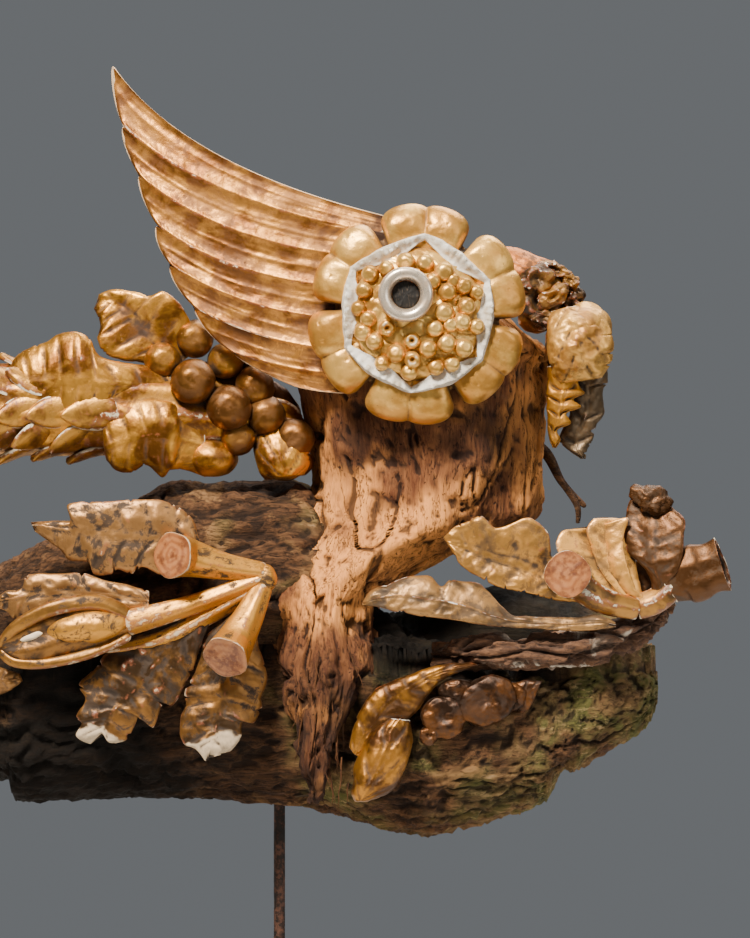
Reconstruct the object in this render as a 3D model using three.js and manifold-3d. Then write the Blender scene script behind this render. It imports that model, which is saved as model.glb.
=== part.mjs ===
// A fish made of old gilded carvings fixed to two weathered logs, on an iron rod with a foot.
// Millimetres. +X is right, towards the snout, +Y is away from the viewer, +Z is up.
// The origin is the centre of the foot's underside, under the rod.

import * as THREE from "three";
import { mergeVertices } from "three/addons/utils/BufferGeometryUtils.js";
import Module from "manifold-3d";

const wasm = await Module();
wasm.setup();

// Stand
const footLength = 260;
const footWidth = 190;
const footThickness = 14;
const footBevel = 2;
const rodDiameter = 8;
const rodFreeLength = 150;
const rodSeatInFoot = 9;
const rodSeatInLog = 60;
const drillClearance = 0.3;

// Logs
const jawLength = 544;
const trunkHeight = 376;
const ledgeThickness = 28;
const mouthDepth = 46;

// Gilded carvings, each by its own length
const wingLength = 250;
const wingRootThickness = 16;
const wingTipThickness = 9;
const featherCount = 7;
const fluteDepth = 2.6;
const rosetteRadius = 78;
const rosetteThickness = 20;
const petalPairs = 6;
const collarRadius = 54.6;
const collarWidth = 12;
const collarHeight = 10;
const berryRadius = 7.5;
const berryCount = 14;
const berryDomeHeight = 14;
const eyeRadius = 19;
const eyeHoleRadius = 9.6;
const eyeThickness = 11;
const pupilThickness = 3;
const garlandLength = 336;
const ropeRadius = 0.098 * garlandLength;
const grapeRadius = 0.0446 * garlandLength;
const vineThickness = 0.0286 * garlandLength;
const leftSprayLength = 188;
const rightSprayLength = 200;
const stubRadius = 16;
const lipLength = 172;
const crownLength = 74;
const snoutLength = 91;
const budLength = 102;
const cloverLength = 84;
const sideLeafLength = 64;
const leafThickness = 6;
const twigLength = 64;
const twigRadius = 2.6;
const seatClearance = 0.8; // a piece is cut back this far round one that is let into it

const gold = [0.8, 0.56, 0.24];
const finishes = {
  iron: { color: [0.09, 0.08, 0.07], roughness: 0.7, metalness: 0.8 },
  bark: { color: [0.2, 0.14, 0.09], roughness: 0.95, metalness: 0 },
  trunkWood: { color: [0.42, 0.26, 0.15], roughness: 0.9, metalness: 0 },
  satinGold: { color: gold, roughness: 0.45, metalness: 0.9 },
  burnishedGold: { color: gold, roughness: 0.3, metalness: 1 },
  agedGold: { color: [0.5, 0.35, 0.18], roughness: 0.55, metalness: 0.7 },
  polishedSteel: { color: [0.75, 0.74, 0.72], roughness: 0.15, metalness: 1 },
  pupilBlack: { color: [0.03, 0.025, 0.02], roughness: 0.9, metalness: 0 },
};

// A closed skin over rings of points, one ring for each station, with a fan over each end.
function loft(rings, closedLoop = false) {
  const around = rings[0].length;
  const vertices = rings.flat();
  const faces = [];
  const spans = closedLoop ? rings.length : rings.length - 1;
  for (let i = 0; i < spans; i++) {
    const here = i * around;
    const next = ((i + 1) % rings.length) * around;
    for (let j = 0; j < around; j++) {
      const k = (j + 1) % around;
      faces.push(here + j, next + j, next + k, here + j, next + k, here + k);
    }
  }
  if (!closedLoop) {
    const first = vertices.push(middleOf(rings[0])) - 1;
    const last = vertices.push(middleOf(rings[rings.length - 1])) - 1;
    const end = (rings.length - 1) * around;
    for (let j = 0; j < around; j++) {
      const k = (j + 1) % around;
      faces.push(first, j, k, last, end + k, end + j);
    }
  }
  const geometry = new THREE.BufferGeometry().setFromPoints(vertices);
  geometry.setIndex(faces);
  return geometry;
}

function middleOf(ring) {
  return ring.reduce((sum, point) => sum.add(point), new THREE.Vector3()).divideScalar(ring.length);
}

// A geometry as a solid: shared corners merged, collapsed triangles dropped, faces turned out.
function solid(geometry) {
  const bare = new THREE.BufferGeometry();
  bare.setAttribute("position", geometry.getAttribute("position").clone());
  bare.setIndex(geometry.index ? geometry.index.clone() : null);
  const merged = mergeVertices(bare, 1e-3);
  const index = merged.index.array;
  const build = (flip) => {
    const kept = [];
    for (let i = 0; i < index.length; i += 3) {
      const [a, b, c] = [index[i], index[i + 1], index[i + 2]];
      if (a !== b && b !== c && a !== c) kept.push(a, flip ? c : b, flip ? b : c);
    }
    return new wasm.Manifold(
      new wasm.Mesh({
        numProp: 3,
        vertProperties: new Float32Array(merged.attributes.position.array),
        triVerts: new Uint32Array(kept),
      }),
    );
  };
  const made = build(false);
  return made.volume() > 0 ? made : build(true);
}

function geometryOf(body) {
  const mesh = body.getMesh();
  const points = new Float32Array(mesh.numVert * 3);
  for (let i = 0; i < mesh.numVert; i++) {
    points.set(mesh.vertProperties.subarray(i * mesh.numProp, i * mesh.numProp + 3), i * 3);
  }
  const geometry = new THREE.BufferGeometry();
  geometry.setAttribute("position", new THREE.BufferAttribute(points, 3));
  geometry.setIndex(new THREE.BufferAttribute(mesh.triVerts, 1));
  return geometry;
}

// The same form with every face moved out, to cut a seat for it.
function grown(body, by) {
  const geometry = geometryOf(body);
  geometry.computeVertexNormals();
  const { position, normal } = geometry.attributes;
  for (let i = 0; i < position.count; i++) {
    const out = new THREE.Vector3().fromBufferAttribute(normal, i).multiplyScalar(by);
    out.add(new THREE.Vector3().fromBufferAttribute(position, i));
    position.setXYZ(i, out.x, out.y, out.z);
  }
  return solid(geometry);
}

const largest = (body) => body.decompose().reduce((a, b) => (a.volume() > b.volume() ? a : b));
const fuse = (...bodies) => bodies.flat().reduce((a, b) => a.add(b));
const reachOf = (guest) => [grown(guest, seatClearance), guest];
const seat = (host, ...guests) =>
  largest(guests.flatMap(reachOf).reduce((left, cut) => left.subtract(cut), host));

// A place given as right, up and back.
const at = (right, up, back = 0) => new THREE.Vector3(right, back, up);

// A carving's own frame: its anchor on the sculpture and the length that its shares are of.
function frameOf(anchor, length) {
  const place = ([right, up, back = 0]) => at(right, up, back).multiplyScalar(length).add(anchor);
  return { place, length };
}

const ease = (list, u) => {
  const x = u * (list.length - 1);
  const i = Math.min(Math.floor(x), list.length - 2);
  return list[i] + (list[i + 1] - list[i]) * (x - i);
};

// A leaf from its base to its tip. Each station gives one margin, the rib and the other margin, in
// thousandths of the carving's length: margin right and up, rib right, up and back, margin right and up.
// bend takes each margin back by a share of its distance from the rib, and crease sinks the rib.
function leaf(frame, stations, { thick = leafThickness, bend = [0.12, 0.12], crease = 0.1 } = {}) {
  const rings = stations.map((station) => {
    const [ax, az, rx, rz, back, bx, bz] = station.map((number) => number / 1000);
    const rib = frame.place([rx, rz, back]);
    const margin = (x, z, share) => {
      const point = frame.place([x, z, back]);
      point.y += share * point.distanceTo(rib);
      return point;
    };
    const [a, b] = [margin(ax, az, bend[0]), margin(bx, bz, bend[1])];
    const forward = (point, by) => point.clone().add(at(0, 0, -by));
    const sunk = crease * Math.min(a.distanceTo(rib), b.distanceTo(rib));
    return [
      a,
      forward(a.clone().lerp(rib, 0.5), thick / 2),
      forward(rib, thick / 2 - sunk),
      forward(b.clone().lerp(rib, 0.5), thick / 2),
      b,
      forward(rib, -thick / 2 - sunk),
    ];
  });
  return solid(loft(rings));
}

// A round bar along a path, with a radius for each point of it.
function bar(frame, path, radii, { sides = 6, steps = 4 } = {}) {
  const line = new THREE.CatmullRomCurve3(path.map(frame.place));
  const { normals, binormals } = line.computeFrenetFrames(steps, false);
  const rings = [];
  for (let i = 0; i <= steps; i++) {
    const radius = ease(radii, i / steps) * frame.length;
    const centre = line.getPointAt(i / steps);
    const ring = [];
    for (let j = 0; j < sides; j++) {
      const turn = (2 * Math.PI * j) / sides;
      const point = centre.clone().addScaledVector(normals[i], radius * Math.cos(turn));
      ring.push(point.addScaledVector(binormals[i], radius * Math.sin(turn)));
    }
    rings.push(ring);
  }
  return solid(loft(rings));
}

// A rounded lump. Sizes are half its width, depth and height; turn is about the line of sight.
function lump(centre, [wide, deep, high], { turn = 0, around = 8, along = 5 } = {}) {
  const geometry = new THREE.SphereGeometry(1, around, along);
  geometry.scale(wide, deep, high);
  geometry.rotateY(-turn);
  geometry.translate(centre.x, centre.y, centre.z);
  return solid(geometry);
}

// The head trunk: level slices from its crown down to the rotten tail that hangs before the jaw.
// Each row holds thousandths of the trunk's height: up, left, right, front, back.
const trunkRows = [
  [1014, 283, 343, -106, 27],
  [992, 231, 369, -165, 106],
  [944, 205, 398, -186, 146],
  [906, 194, 441, -199, 165],
  [880, 190, 514, -202, 176],
  [806, 41, 512, -202, 176],
  [679, 48, 506, -197, 173],
  [586, 63, 501, -191, 160],
  [512, 37, 480, -191, 146],
  [460, 19, 357, -197, 133],
  [409, -11, 264, -207, 106],
  [363, -19, 197, -218, 74],
  [270, -19, 186, -237, -32],
  [229, -4, 182, -247, -80],
  [195, 4, 156, -253, -106],
  [102, 22, 112, -266, -165],
  [46, 34, 97, -269, -186],
  [-4, 48, 89, -269, -213],
];

// Splits and hollows run down the trunk, so its slices are uneven in the same places.
function headTrunk(tailFoot) {
  const sides = 14;
  const rings = trunkRows.map((row, i) => {
    const [up, left, right, front, back] = row.map((number) => number / 1000);
    const ring = [];
    for (let j = 0; j < sides; j++) {
      const turn = (2 * Math.PI * j) / sides;
      const [across, deep] = [Math.cos(turn), Math.sin(turn)];
      const split = 0.07 * deep * deep * Math.sin(5 * turn + 0.25 * i);
      const craggy = 1 + split + 0.02 * Math.sin(9 * turn + 1.7 * i);
      const x = (left + right) / 2 + ((right - left) / 2) * across * craggy;
      const y = (front + back) / 2 + ((back - front) / 2) * deep * craggy;
      ring.push(at(x, up, y).multiplyScalar(trunkHeight).add(tailFoot));
    }
    return ring;
  });
  return solid(loft(rings));
}

// The jaw log: upright slices from its broken tail end to its rounded front. Its far side stands
// higher behind the mouth.
// Each row holds thousandths of its length: along, top, bottom, front, back.
const jawRows = [
  [-507, 221, 90, -55, 46],
  [-435, 296, 31, -125, 121],
  [-383, 311, 28, -132, 132],
  [-353, 324, 30, -136, 136],
  [-336, 335, 3, -136, 138],
  [-268, 371, 5, -136, 142],
  [-196, 403, 9, -134, 143],
  [-133, 428, 8, -132, 147],
  [-81, 426, 6, -131, 147],
  [28, 430, -4, -129, 147],
  [67, 376, -14, -132, 145],
  [112, 286, -28, -140, 142],
  [157, 244, -36, -145, 138],
  [196, 226, -40, -149, 134],
  [286, 211, -18, -153, 121],
  [340, 208, 0, -151, 110],
  [371, 211, 31, -147, 101],
  [414, 215, 63, -136, 88],
  [471, 208, 95, -96, 59],
  [492, 180, 129, -62, 15],
];

function jawLog() {
  const sides = 12;
  const squareness = 0.7;
  const rings = jawRows.map((row, i) => {
    const [along, top, bottom, front, back] = row.map((number) => number / 1000);
    const ring = [];
    for (let j = 0; j < sides; j++) {
      const turn = (2 * Math.PI * j) / sides;
      const bow = (w) => Math.sign(w) * Math.abs(w) ** squareness;
      const craggy = 1 + 0.04 * Math.sin(3 * turn + 0.9 * i) * Math.abs(Math.cos(turn));
      const y = (front + back) / 2 + ((back - front) / 2) * bow(Math.cos(turn)) * craggy;
      const z = (top + bottom) / 2 + ((top - bottom) / 2) * bow(Math.sin(turn));
      ring.push(at(along, z, y).multiplyScalar(jawLength));
    }
    return ring;
  });
  const share = frameOf(at(0, 0), jawLength);
  const ledgePath = [
    [0.2, 0.2, -0.12],
    [0.285, 0.207, -0.155],
    [0.39, 0.212, -0.15],
    [0.466, 0.238, -0.125],
    [0.504, 0.276, -0.09],
  ];
  const half = ledgeThickness / 2 / jawLength;
  const ledgeRadii = [0.7, 1, 1, 0.9, 0.5].map((part) => part * half);
  const ledge = bar(share, ledgePath, ledgeRadii, { steps: 5 });
  const mouthHalf = [0.15 * jawLength, mouthDepth, 0.072 * jawLength];
  const mouth = lump(share.place([0.22, 0.266, -0.14]), mouthHalf, { around: 8, along: 4 });
  const farHalf = [0.175, 0.096, 0.0735].map((part) => part * jawLength);
  const farSide = lump(share.place([0.311, 0.2206, 0.055]), farHalf, { around: 5, along: 3 });
  return fuse(solid(loft(rings)), farSide).subtract(mouth).add(ledge);
}

// The wing that serves as a back fin. Root, bend and tip are lines across its feathers, from the
// leading edge down.
const wingRoot = [
  [0.056, 0.246, 0],
  [-0.056, -0.246, 0],
];
const wingBend = [
  [-0.524, 0.387, 0.03],
  [-0.437, 0.185, 0.02],
  [-0.359, 0.003, 0.02],
  [-0.28, -0.137, 0.02],
  [-0.132, -0.246, 0.02],
];
const wingTips = [
  [-0.723, 0.672, 0.1],
  [-0.695, 0.504, 0.09],
  [-0.65, 0.364, 0.08],
  [-0.599, 0.224, 0.07],
  [-0.56, 0.112, 0.06],
  [-0.493, -0.006, 0.05],
  [-0.381, -0.134, 0.04],
  [-0.202, -0.23, 0.02],
];

function wing(frame) {
  const lines = [wingRoot, wingBend, wingTips];
  const [root, bend, tips] = lines.map((line) => new THREE.CatmullRomCurve3(line.map(frame.place)));
  const stations = 8;
  const samples = featherCount * 2;
  const rings = [];
  for (let i = 0; i <= stations; i++) {
    const s = i / stations;
    const thick = wingRootThickness + (wingTipThickness - wingRootThickness) * s;
    const onFeather = (t, lift) => {
      const rounded = 0.025 * wingLength * Math.abs(Math.sin(Math.PI * featherCount * t));
      const end = tips.getPoint(t);
      const outward = end.clone().sub(bend.getPoint(t)).normalize();
      end.addScaledVector(outward, rounded);
      const path = new THREE.QuadraticBezierCurve3(root.getPoint(t), bend.getPoint(t), end);
      return path.getPoint(s).add(at(0, 0, -lift));
    };
    const ring = [];
    for (let j = 0; j <= samples; j++) {
      const t = j / samples;
      const swell = Math.sin(Math.PI * (0.12 + 0.76 * t)) ** 0.6;
      ring.push(onFeather(t, (thick / 2) * swell - (j % 2 ? fluteDepth : 0)));
    }
    for (const t of [0.85, 0.5, 0.15]) ring.push(onFeather(t, -thick / 2));
    rings.push(ring);
  }
  return solid(loft(rings));
}

// The rosette: paired round petals, a pale collar of six folds and a dome of berries, carved as one.
const firstFold = THREE.MathUtils.degToRad(-95);
const foldAngle = (2 * Math.PI) / petalPairs;

// A point on the rosette, by angle, distance from its axis and height above its back.
const onRosette = (centre, turn, reach, lift) =>
  at(Math.cos(turn) * reach, Math.sin(turn) * reach, -lift).add(centre);

function rosette(centre) {
  const disc = new THREE.CylinderGeometry(collarRadius, collarRadius, rosetteThickness, 12);
  disc.translate(centre.x, centre.y - rosetteThickness / 2, centre.z);
  const domeHalf = [collarRadius * 0.8, berryDomeHeight, collarRadius * 0.8];
  const dome = lump(at(0, 0, -rosetteThickness).add(centre), domeHalf, { around: 11, along: 4 });
  return fuse(petalRing(centre), solid(disc), collar(centre), dome, berries(centre));
}

// The edge of the ring is a round lobe to each side of every pair's middle.
function petalRing(centre) {
  const perPair = 8;
  const lobeReach = 0.77 * rosetteRadius;
  const lobeRadius = 0.24 * rosetteRadius;
  const rings = [];
  for (let i = 0; i < petalPairs * perPair; i++) {
    const fromMiddle = ((i % perPair) / perPair - 0.5) * foldAngle;
    const fromLobe = Math.abs(fromMiddle) - 0.21 * foldAngle;
    const chord = lobeRadius ** 2 - (lobeReach * Math.sin(fromLobe)) ** 2;
    const edge = lobeReach * Math.cos(fromLobe) + Math.sqrt(Math.max(chord, 0));
    const full = i % perPair ? 1 : 0.55;
    const section = [
      [0.6 * rosetteRadius, 0],
      [edge * (0.88 + 0.07 * full), 0.15 * rosetteThickness],
      [edge * (0.88 + 0.12 * full), 0.5 * rosetteThickness],
      [edge * 0.88, 0.95 * full * rosetteThickness],
      [0.6 * rosetteRadius, 0.8 * rosetteThickness],
    ];
    const turn = firstFold + (foldAngle * (i - perPair / 2)) / perPair;
    rings.push(section.map(([reach, lift]) => onRosette(centre, turn, reach, lift)));
  }
  return solid(loft(rings, true));
}

function collar(centre) {
  const perFold = 3;
  const rings = [];
  for (let i = 0; i < petalPairs * perFold; i++) {
    const turn = firstFold + (foldAngle * i) / perFold;
    const swell = Math.sin(Math.PI * ((i / perFold) % 1));
    const outer = collarRadius * (1 - 0.05 * swell);
    const inner = outer - collarWidth * (0.4 + 0.6 * swell);
    const height = collarHeight * (0.6 + 0.4 * swell);
    const section = [
      [outer, 0],
      [outer - 0.25 * collarWidth, height * 0.8],
      [inner, height],
      [inner, 0],
    ];
    rings.push(section.map(([reach, lift]) => onRosette(centre, turn, reach, rosetteThickness + lift - 1)));
  }
  return solid(loft(rings, true));
}

// Berries in a sunflower spiral over the dome.
function berries(centre) {
  const goldenAngle = Math.PI * (3 - Math.sqrt(5));
  const made = [];
  for (let i = 1; i <= berryCount; i++) {
    const spread = Math.sqrt(i / berryCount);
    const reach = collarRadius * 0.7 * spread;
    const turn = i * goldenAngle;
    const lift = rosetteThickness + berryDomeHeight * Math.sqrt(1 - (0.85 * spread) ** 2) - 1;
    const spot = onRosette(centre, turn, reach, lift);
    made.push(lump(spot, [berryRadius, berryRadius, berryRadius], { turn, around: 5, along: 3 }));
  }
  return made;
}

// The eye is a dished ring with a dark plug in its hole.
function eyeRing(centre) {
  const profile = [
    [eyeHoleRadius, 0],
    [eyeRadius, 0],
    [eyeRadius, 0.5],
    [eyeRadius * 0.82, 1],
    [eyeHoleRadius * 1.15, 0.6],
    [eyeHoleRadius, 0.5],
    [eyeHoleRadius, 0],
  ];
  const outline = profile.map(([r, lift]) => new THREE.Vector2(r, -lift * eyeThickness));
  const ring = new THREE.LatheGeometry(outline, 14);
  ring.translate(centre.x, centre.y, centre.z);
  return solid(ring);
}

function pupil(centre) {
  const radius = eyeHoleRadius - drillClearance;
  const plug = new THREE.CylinderGeometry(radius, radius, pupilThickness, 14);
  plug.translate(centre.x, centre.y - pupilThickness / 2, centre.z);
  return solid(plug);
}

// The garland: vine leaves and grapes by the trunk, then a rope of laurel leaves that thins to the
// fish's tail.
const vineUpturned = [
  [-240, 165, -275, 140, -20, -310, 115],
  [-250, 220, -310, 170, -25, -350, 140],
  [-270, 260, -335, 200, -30, -390, 145],
  [-305, 290, -360, 225, -30, -430, 160],
  [-335, 280, -380, 245, -30, -445, 190],
  [-370, 290, -400, 260, -25, -440, 215],
  [-415, 295, -420, 270, -20, -445, 235],
  [-445, 285, -445, 270, -10, -455, 255],
];
const vineLong = [
  [-290, 115, -290, 90, -50, -295, 65],
  [-340, 135, -345, 90, -65, -355, 60],
  [-390, 140, -390, 95, -80, -405, 55],
  [-440, 155, -430, 95, -90, -430, 20],
  [-460, 190, -465, 100, -95, -465, 0],
  [-490, 205, -500, 100, -100, -495, -5],
  [-525, 200, -530, 100, -90, -530, 0],
  [-550, 185, -560, 95, -85, -560, 30],
  [-590, 170, -590, 95, -75, -585, 60],
  [-620, 150, -615, 100, -60, -610, 75],
  [-635, 115, -640, 105, -50, -635, 95],
];
const vineUnder = [
  [-220, 10, -220, -30, -50, -220, -100],
  [-255, 25, -260, -20, -70, -260, -85],
  [-280, 55, -290, -15, -95, -290, -85],
  [-325, 65, -325, -10, -100, -310, -100],
  [-360, 65, -355, -15, -100, -340, -75],
  [-395, 60, -385, -25, -95, -375, -90],
  [-425, 40, -415, -35, -90, -405, -85],
  [-435, 0, -430, -40, -80, -425, -65],
];

// Each grape: right, up, back, and its size as a share of the grape radius.
const grapeSpots = [
  [-0.31, 0.144, -0.04, 0.85],
  [-0.242, 0.19, -0.03, 0.9],
  [-0.244, 0.1, -0.08, 1.06],
  [-0.17, 0.046, -0.07, 1.08],
  [-0.178, 0.145, -0.03, 0.85],
  [-0.115, 0.092, -0.04, 0.95],
  [-0.094, 0.03, -0.04, 0.95],
  [-0.035, -0.02, -0.03, 1],
  [-0.15, -0.02, -0.05, 0.8],
];
const ropePath = [
  [-0.02, 0.02, 0.02],
  [-0.3, 0.04, 0],
  [-0.62, 0.045, 0],
  [-0.85, 0.05, 0],
  [-0.985, 0.07, 0],
];

function garland(frame) {
  const round = ropeRadius / garlandLength;
  const shares = (...list) => list.map((share) => share * garlandLength);
  const thick = vineThickness;
  const rope = bar(frame, ropePath, [0.5, 0.9, 1, 0.75, 0.1].map((part) => part * round), { steps: 6 });
  const vine = [
    leaf(frame, vineUpturned, { thick, bend: [-0.2, -0.2] }),
    leaf(frame, vineLong, { thick, bend: [0.3, 0.3] }),
    leaf(frame, vineUnder, { thick, bend: [0.3, 0.3] }),
  ];
  const swells = [
    lump(frame.place([-0.205, -0.058, -0.03]), shares(0.054, 0.051, 0.042), { around: 6, along: 4 }),
    lump(frame.place([-0.058, -0.068, -0.02]), shares(0.054, 0.042, 0.039), { around: 6, along: 4 }),
  ];
  const grapes = grapeSpots.map(([right, up, back, size]) => {
    const half = size * grapeRadius;
    return lump(frame.place([right, up, back]), [half, half, half], { around: 6, along: 4 });
  });
  return fuse(rope, vine, swells, grapes, laurels(frame));
}

// Overlapping laurel leaves in three rows along the rope, each pointing to the tail.
function laurels(frame) {
  const line = new THREE.CatmullRomCurve3(ropePath.map(frame.place));
  const perRow = 5;
  const made = [];
  for (let i = 0; i < perRow; i++) {
    const shrink = 1 - 0.6 * (i / perRow) ** 2;
    const reach = ropeRadius * 0.95 * shrink;
    for (const row of [-1, 0, 1]) {
      const spot = line.getPointAt(0.42 + (0.54 * i) / perRow);
      spot.add(at(0, row * reach, row ? -0.15 * reach : -reach));
      const half = [ropeRadius * 0.85 * shrink, ropeRadius * 0.3 * shrink, ropeRadius * 0.42 * shrink];
      made.push(lump(spot, half, { turn: row * 0.35, around: 4, along: 3 }));
    }
  }
  return made;
}

// The spray under the garland: four lobed leaves, a seed pod and two sawn stubs, on stems from one joint.
const leftUpper = [
  [-245, 115, -235, 90, -40, -245, 60],
  [-270, 200, -290, 105, -50, -290, 30],
  [-315, 245, -345, 125, -60, -385, 0],
  [-385, 275, -410, 135, -70, -455, 30],
  [-460, 280, -470, 140, -70, -495, 5],
  [-535, 275, -535, 145, -70, -550, 20],
  [-610, 270, -595, 155, -65, -580, 0],
  [-685, 270, -655, 155, -55, -640, 5],
  [-740, 255, -700, 165, -45, -660, 45],
  [-710, 205, -755, 170, -25, -730, 55],
  [-785, 200, -815, 180, -10, -775, 100],
  [-875, 195, -870, 185, 10, -860, 160],
];
const leftMiddle = [
  [-435, -60, -435, -95, -45, -435, -135],
  [-515, -35, -515, -85, -40, -515, -140],
  [-595, -20, -595, -75, -40, -595, -140],
  [-670, 5, -680, -65, -35, -680, -140],
  [-775, 5, -770, -65, -30, -770, -150],
  [-885, 0, -850, -65, -20, -850, -165],
  [-905, -50, -920, -80, -10, -925, -170],
  [-965, -60, -970, -90, 0, -965, -135],
  [-1000, -90, -1000, -95, 10, -995, -125],
];
const pod = [
  [-485, -140, -485, -170, -60, -485, -210],
  [-545, -110, -550, -170, -85, -560, -250],
  [-625, -95, -635, -175, -100, -645, -285],
  [-720, -95, -730, -185, -105, -740, -305],
  [-815, -125, -820, -215, -100, -820, -330],
  [-895, -160, -895, -245, -90, -890, -330],
  [-955, -200, -955, -265, -70, -935, -305],
  [-995, -255, -985, -270, -40, -970, -290],
];
const leftLower = [
  [-210, -125, -210, -150, -30, -210, -180],
  [-330, -170, -290, -210, -30, -245, -265],
  [-440, -210, -360, -275, -30, -270, -340],
  [-550, -255, -420, -335, -30, -305, -410],
  [-605, -300, -460, -390, -30, -345, -480],
  [-635, -345, -495, -435, -35, -385, -480],
  [-695, -405, -530, -465, -35, -420, -565],
  [-670, -460, -560, -495, -40, -465, -515],
  [-705, -520, -580, -520, -40, -490, -560],
  [-685, -550, -595, -550, -40, -520, -610],
  [-705, -595, -610, -570, -40, -575, -620],
  [-650, -625, -610, -585, -40, -600, -595],
];
const leftBottom = [
  [-80, -95, -50, -105, -30, -20, -110],
  [-155, -165, -85, -170, -35, -35, -190],
  [-230, -230, -110, -245, -35, -30, -265],
  [-245, -300, -125, -320, -40, -5, -340],
  [-270, -365, -140, -375, -40, 0, -395],
  [-305, -435, -155, -435, -45, -20, -450],
  [-300, -480, -165, -480, -45, -20, -490],
  [-320, -530, -175, -515, -50, -45, -545],
  [-320, -600, -185, -550, -50, -90, -545],
  [-300, -630, -195, -590, -55, -95, -595],
  [-265, -640, -205, -620, -55, -130, -645],
  [-225, -685, -215, -665, -60, -195, -670],
];

function leftSpray(frame) {
  const round = stubRadius / leftSprayLength;
  const toUpperStub = [
    [0, 0.007, -0.03],
    [-0.16, 0.034, -0.05],
    [-0.29, 0.067, -0.08],
    [-0.345, 0.075, -0.15],
  ];
  const toLowerStub = [
    [-0.01, -0.03, -0.03],
    [-0.067, -0.153, -0.06],
    [-0.12, -0.25, -0.11],
    [-0.149, -0.3, -0.18],
  ];
  const toPod = [[-0.02, -0.01, -0.03], [-0.25, -0.1, -0.05], [-0.515, -0.175, -0.06]];
  const toLeaf = [[-0.05, -0.06, -0.02], [-0.22, -0.15, -0.02], [-0.4, -0.24, -0.02]];
  return fuse(
    bar(frame, toUpperStub, [0.035, 0.05, 0.85 * round, round], { sides: 7, steps: 4 }),
    bar(frame, toLowerStub, [0.035, 0.055, 0.85 * round, round], { sides: 7, steps: 4 }),
    bar(frame, toPod, [0.035, 0.032, 0.04], { sides: 6, steps: 3 }),
    bar(frame, toLeaf, [0.035, 0.035, 0.02], { sides: 5, steps: 2 }),
    leaf(frame, leftUpper),
    leaf(frame, leftMiddle),
    leaf(frame, pod, { thick: leafThickness * 3, bend: [0.3, 0.3] }),
    leaf(frame, leftLower),
    leaf(frame, leftBottom, { bend: [0.25, 0.25] }),
  );
}

// The spray on the ledge: a lobed leaf, a fan leaf, a twisted leaf, a curled bell and a broken stub.
const ledgeLobed = [
  [-195, 110, -195, 55, -30, -195, 5],
  [-245, 150, -265, 75, -40, -275, 10],
  [-310, 165, -325, 90, -50, -335, 20],
  [-330, 250, -380, 115, -55, -385, 35],
  [-395, 300, -435, 135, -60, -435, 45],
  [-455, 280, -485, 150, -60, -485, 55],
  [-510, 265, -525, 165, -60, -525, 70],
  [-560, 305, -570, 180, -60, -570, 95],
  [-610, 285, -605, 195, -50, -605, 115],
  [-650, 270, -640, 205, -45, -640, 145],
  [-690, 230, -680, 220, -40, -665, 190],
];
const ledgeFan = [
  [25, 10, 0, -10, -10, -35, -45],
  [-15, 45, -65, 25, -15, -120, -15],
  [-40, 100, -105, 75, -20, -170, 40],
  [-55, 150, -135, 125, -15, -220, 90],
  [-65, 205, -145, 175, -5, -280, 160],
  [-60, 250, -160, 220, 5, -300, 205],
  [-50, 300, -170, 255, 10, -280, 250],
  [-110, 285, -175, 265, 20, -240, 260],
];
const ledgeTwist = [
  [110, 10, 75, 0, -10, 35, 5],
  [100, 65, 65, 65, -25, 30, 80],
  [125, 115, 45, 115, -40, 0, 130],
  [140, 180, 35, 175, -35, -50, 180],
  [145, 240, 35, 235, -20, -60, 250],
  [150, 290, 35, 300, 5, -55, 305],
  [110, 335, 35, 345, 25, -40, 355],
  [70, 380, 30, 385, 40, -5, 395],
];

function rightSpray(frame) {
  const round = stubRadius / rightSprayLength;
  const toStub = [[-0.01, -0.02, -0.02], [-0.133, 0.01, -0.05], [-0.228, 0.07, -0.06]];
  const toBell = [[-0.02, -0.01, 0], [0.05, 0.01, 0], [0.12, 0.07, 0]];
  const bell = bar(frame, [[0.1, 0.06, 0], [0.18, 0.1, -0.01], [0.265, 0.13, -0.02]], [0.06, 0.1, 0.08]);
  const bellHollow = [0.04, 0.05, 0.045].map((share) => share * rightSprayLength);
  const bellMouth = lump(frame.place([0.285, 0.15, -0.03]), bellHollow, { around: 6, along: 4 });
  return fuse(
    bar(frame, toStub, [0.035, 0.045, 0.05]),
    bar(frame, [[-0.255, 0.1, 0], [-0.262, 0.105, -0.13]], [round, round], { sides: 8, steps: 2 }),
    bar(frame, toBell, [0.045, 0.045, 0.045]),
    leaf(frame, ledgeLobed, { bend: [-0.12, -0.12] }),
    leaf(frame, ledgeFan, { bend: [-0.2, -0.2] }),
    leaf(frame, ledgeTwist, { crease: 0.25 }),
    bell.subtract(bellMouth),
  );
}

// The long leaf that leans back over the mouth, like a lip.
const lipStations = [
  [5, 25, 5, 15, -20, 5, 5],
  [-65, 55, -60, 25, -20, -60, -5],
  [-150, 45, -150, 20, -25, -150, -10],
  [-255, 45, -255, 20, -30, -255, -5],
  [-355, 50, -355, 25, -30, -355, 0],
  [-415, 55, -425, 35, -30, -425, 5],
  [-480, 120, -500, 55, -35, -505, 10],
  [-545, 180, -580, 85, -40, -595, 25],
  [-610, 190, -640, 100, -40, -660, 35],
  [-660, 195, -680, 110, -40, -700, 40],
  [-700, 170, -710, 115, -40, -735, 45],
  [-745, 210, -765, 120, -40, -785, 50],
  [-820, 210, -835, 135, -40, -850, 65],
  [-870, 195, -875, 135, -35, -885, 70],
  [-915, 175, -915, 130, -30, -925, 80],
  [-970, 160, -970, 120, -25, -975, 90],
  [-1015, 110, -1015, 105, -20, -1015, 95],
];
const lipLeaf = (frame) => leaf(frame, lipStations, { bend: [0.45, -0.2], crease: 0 });

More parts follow.
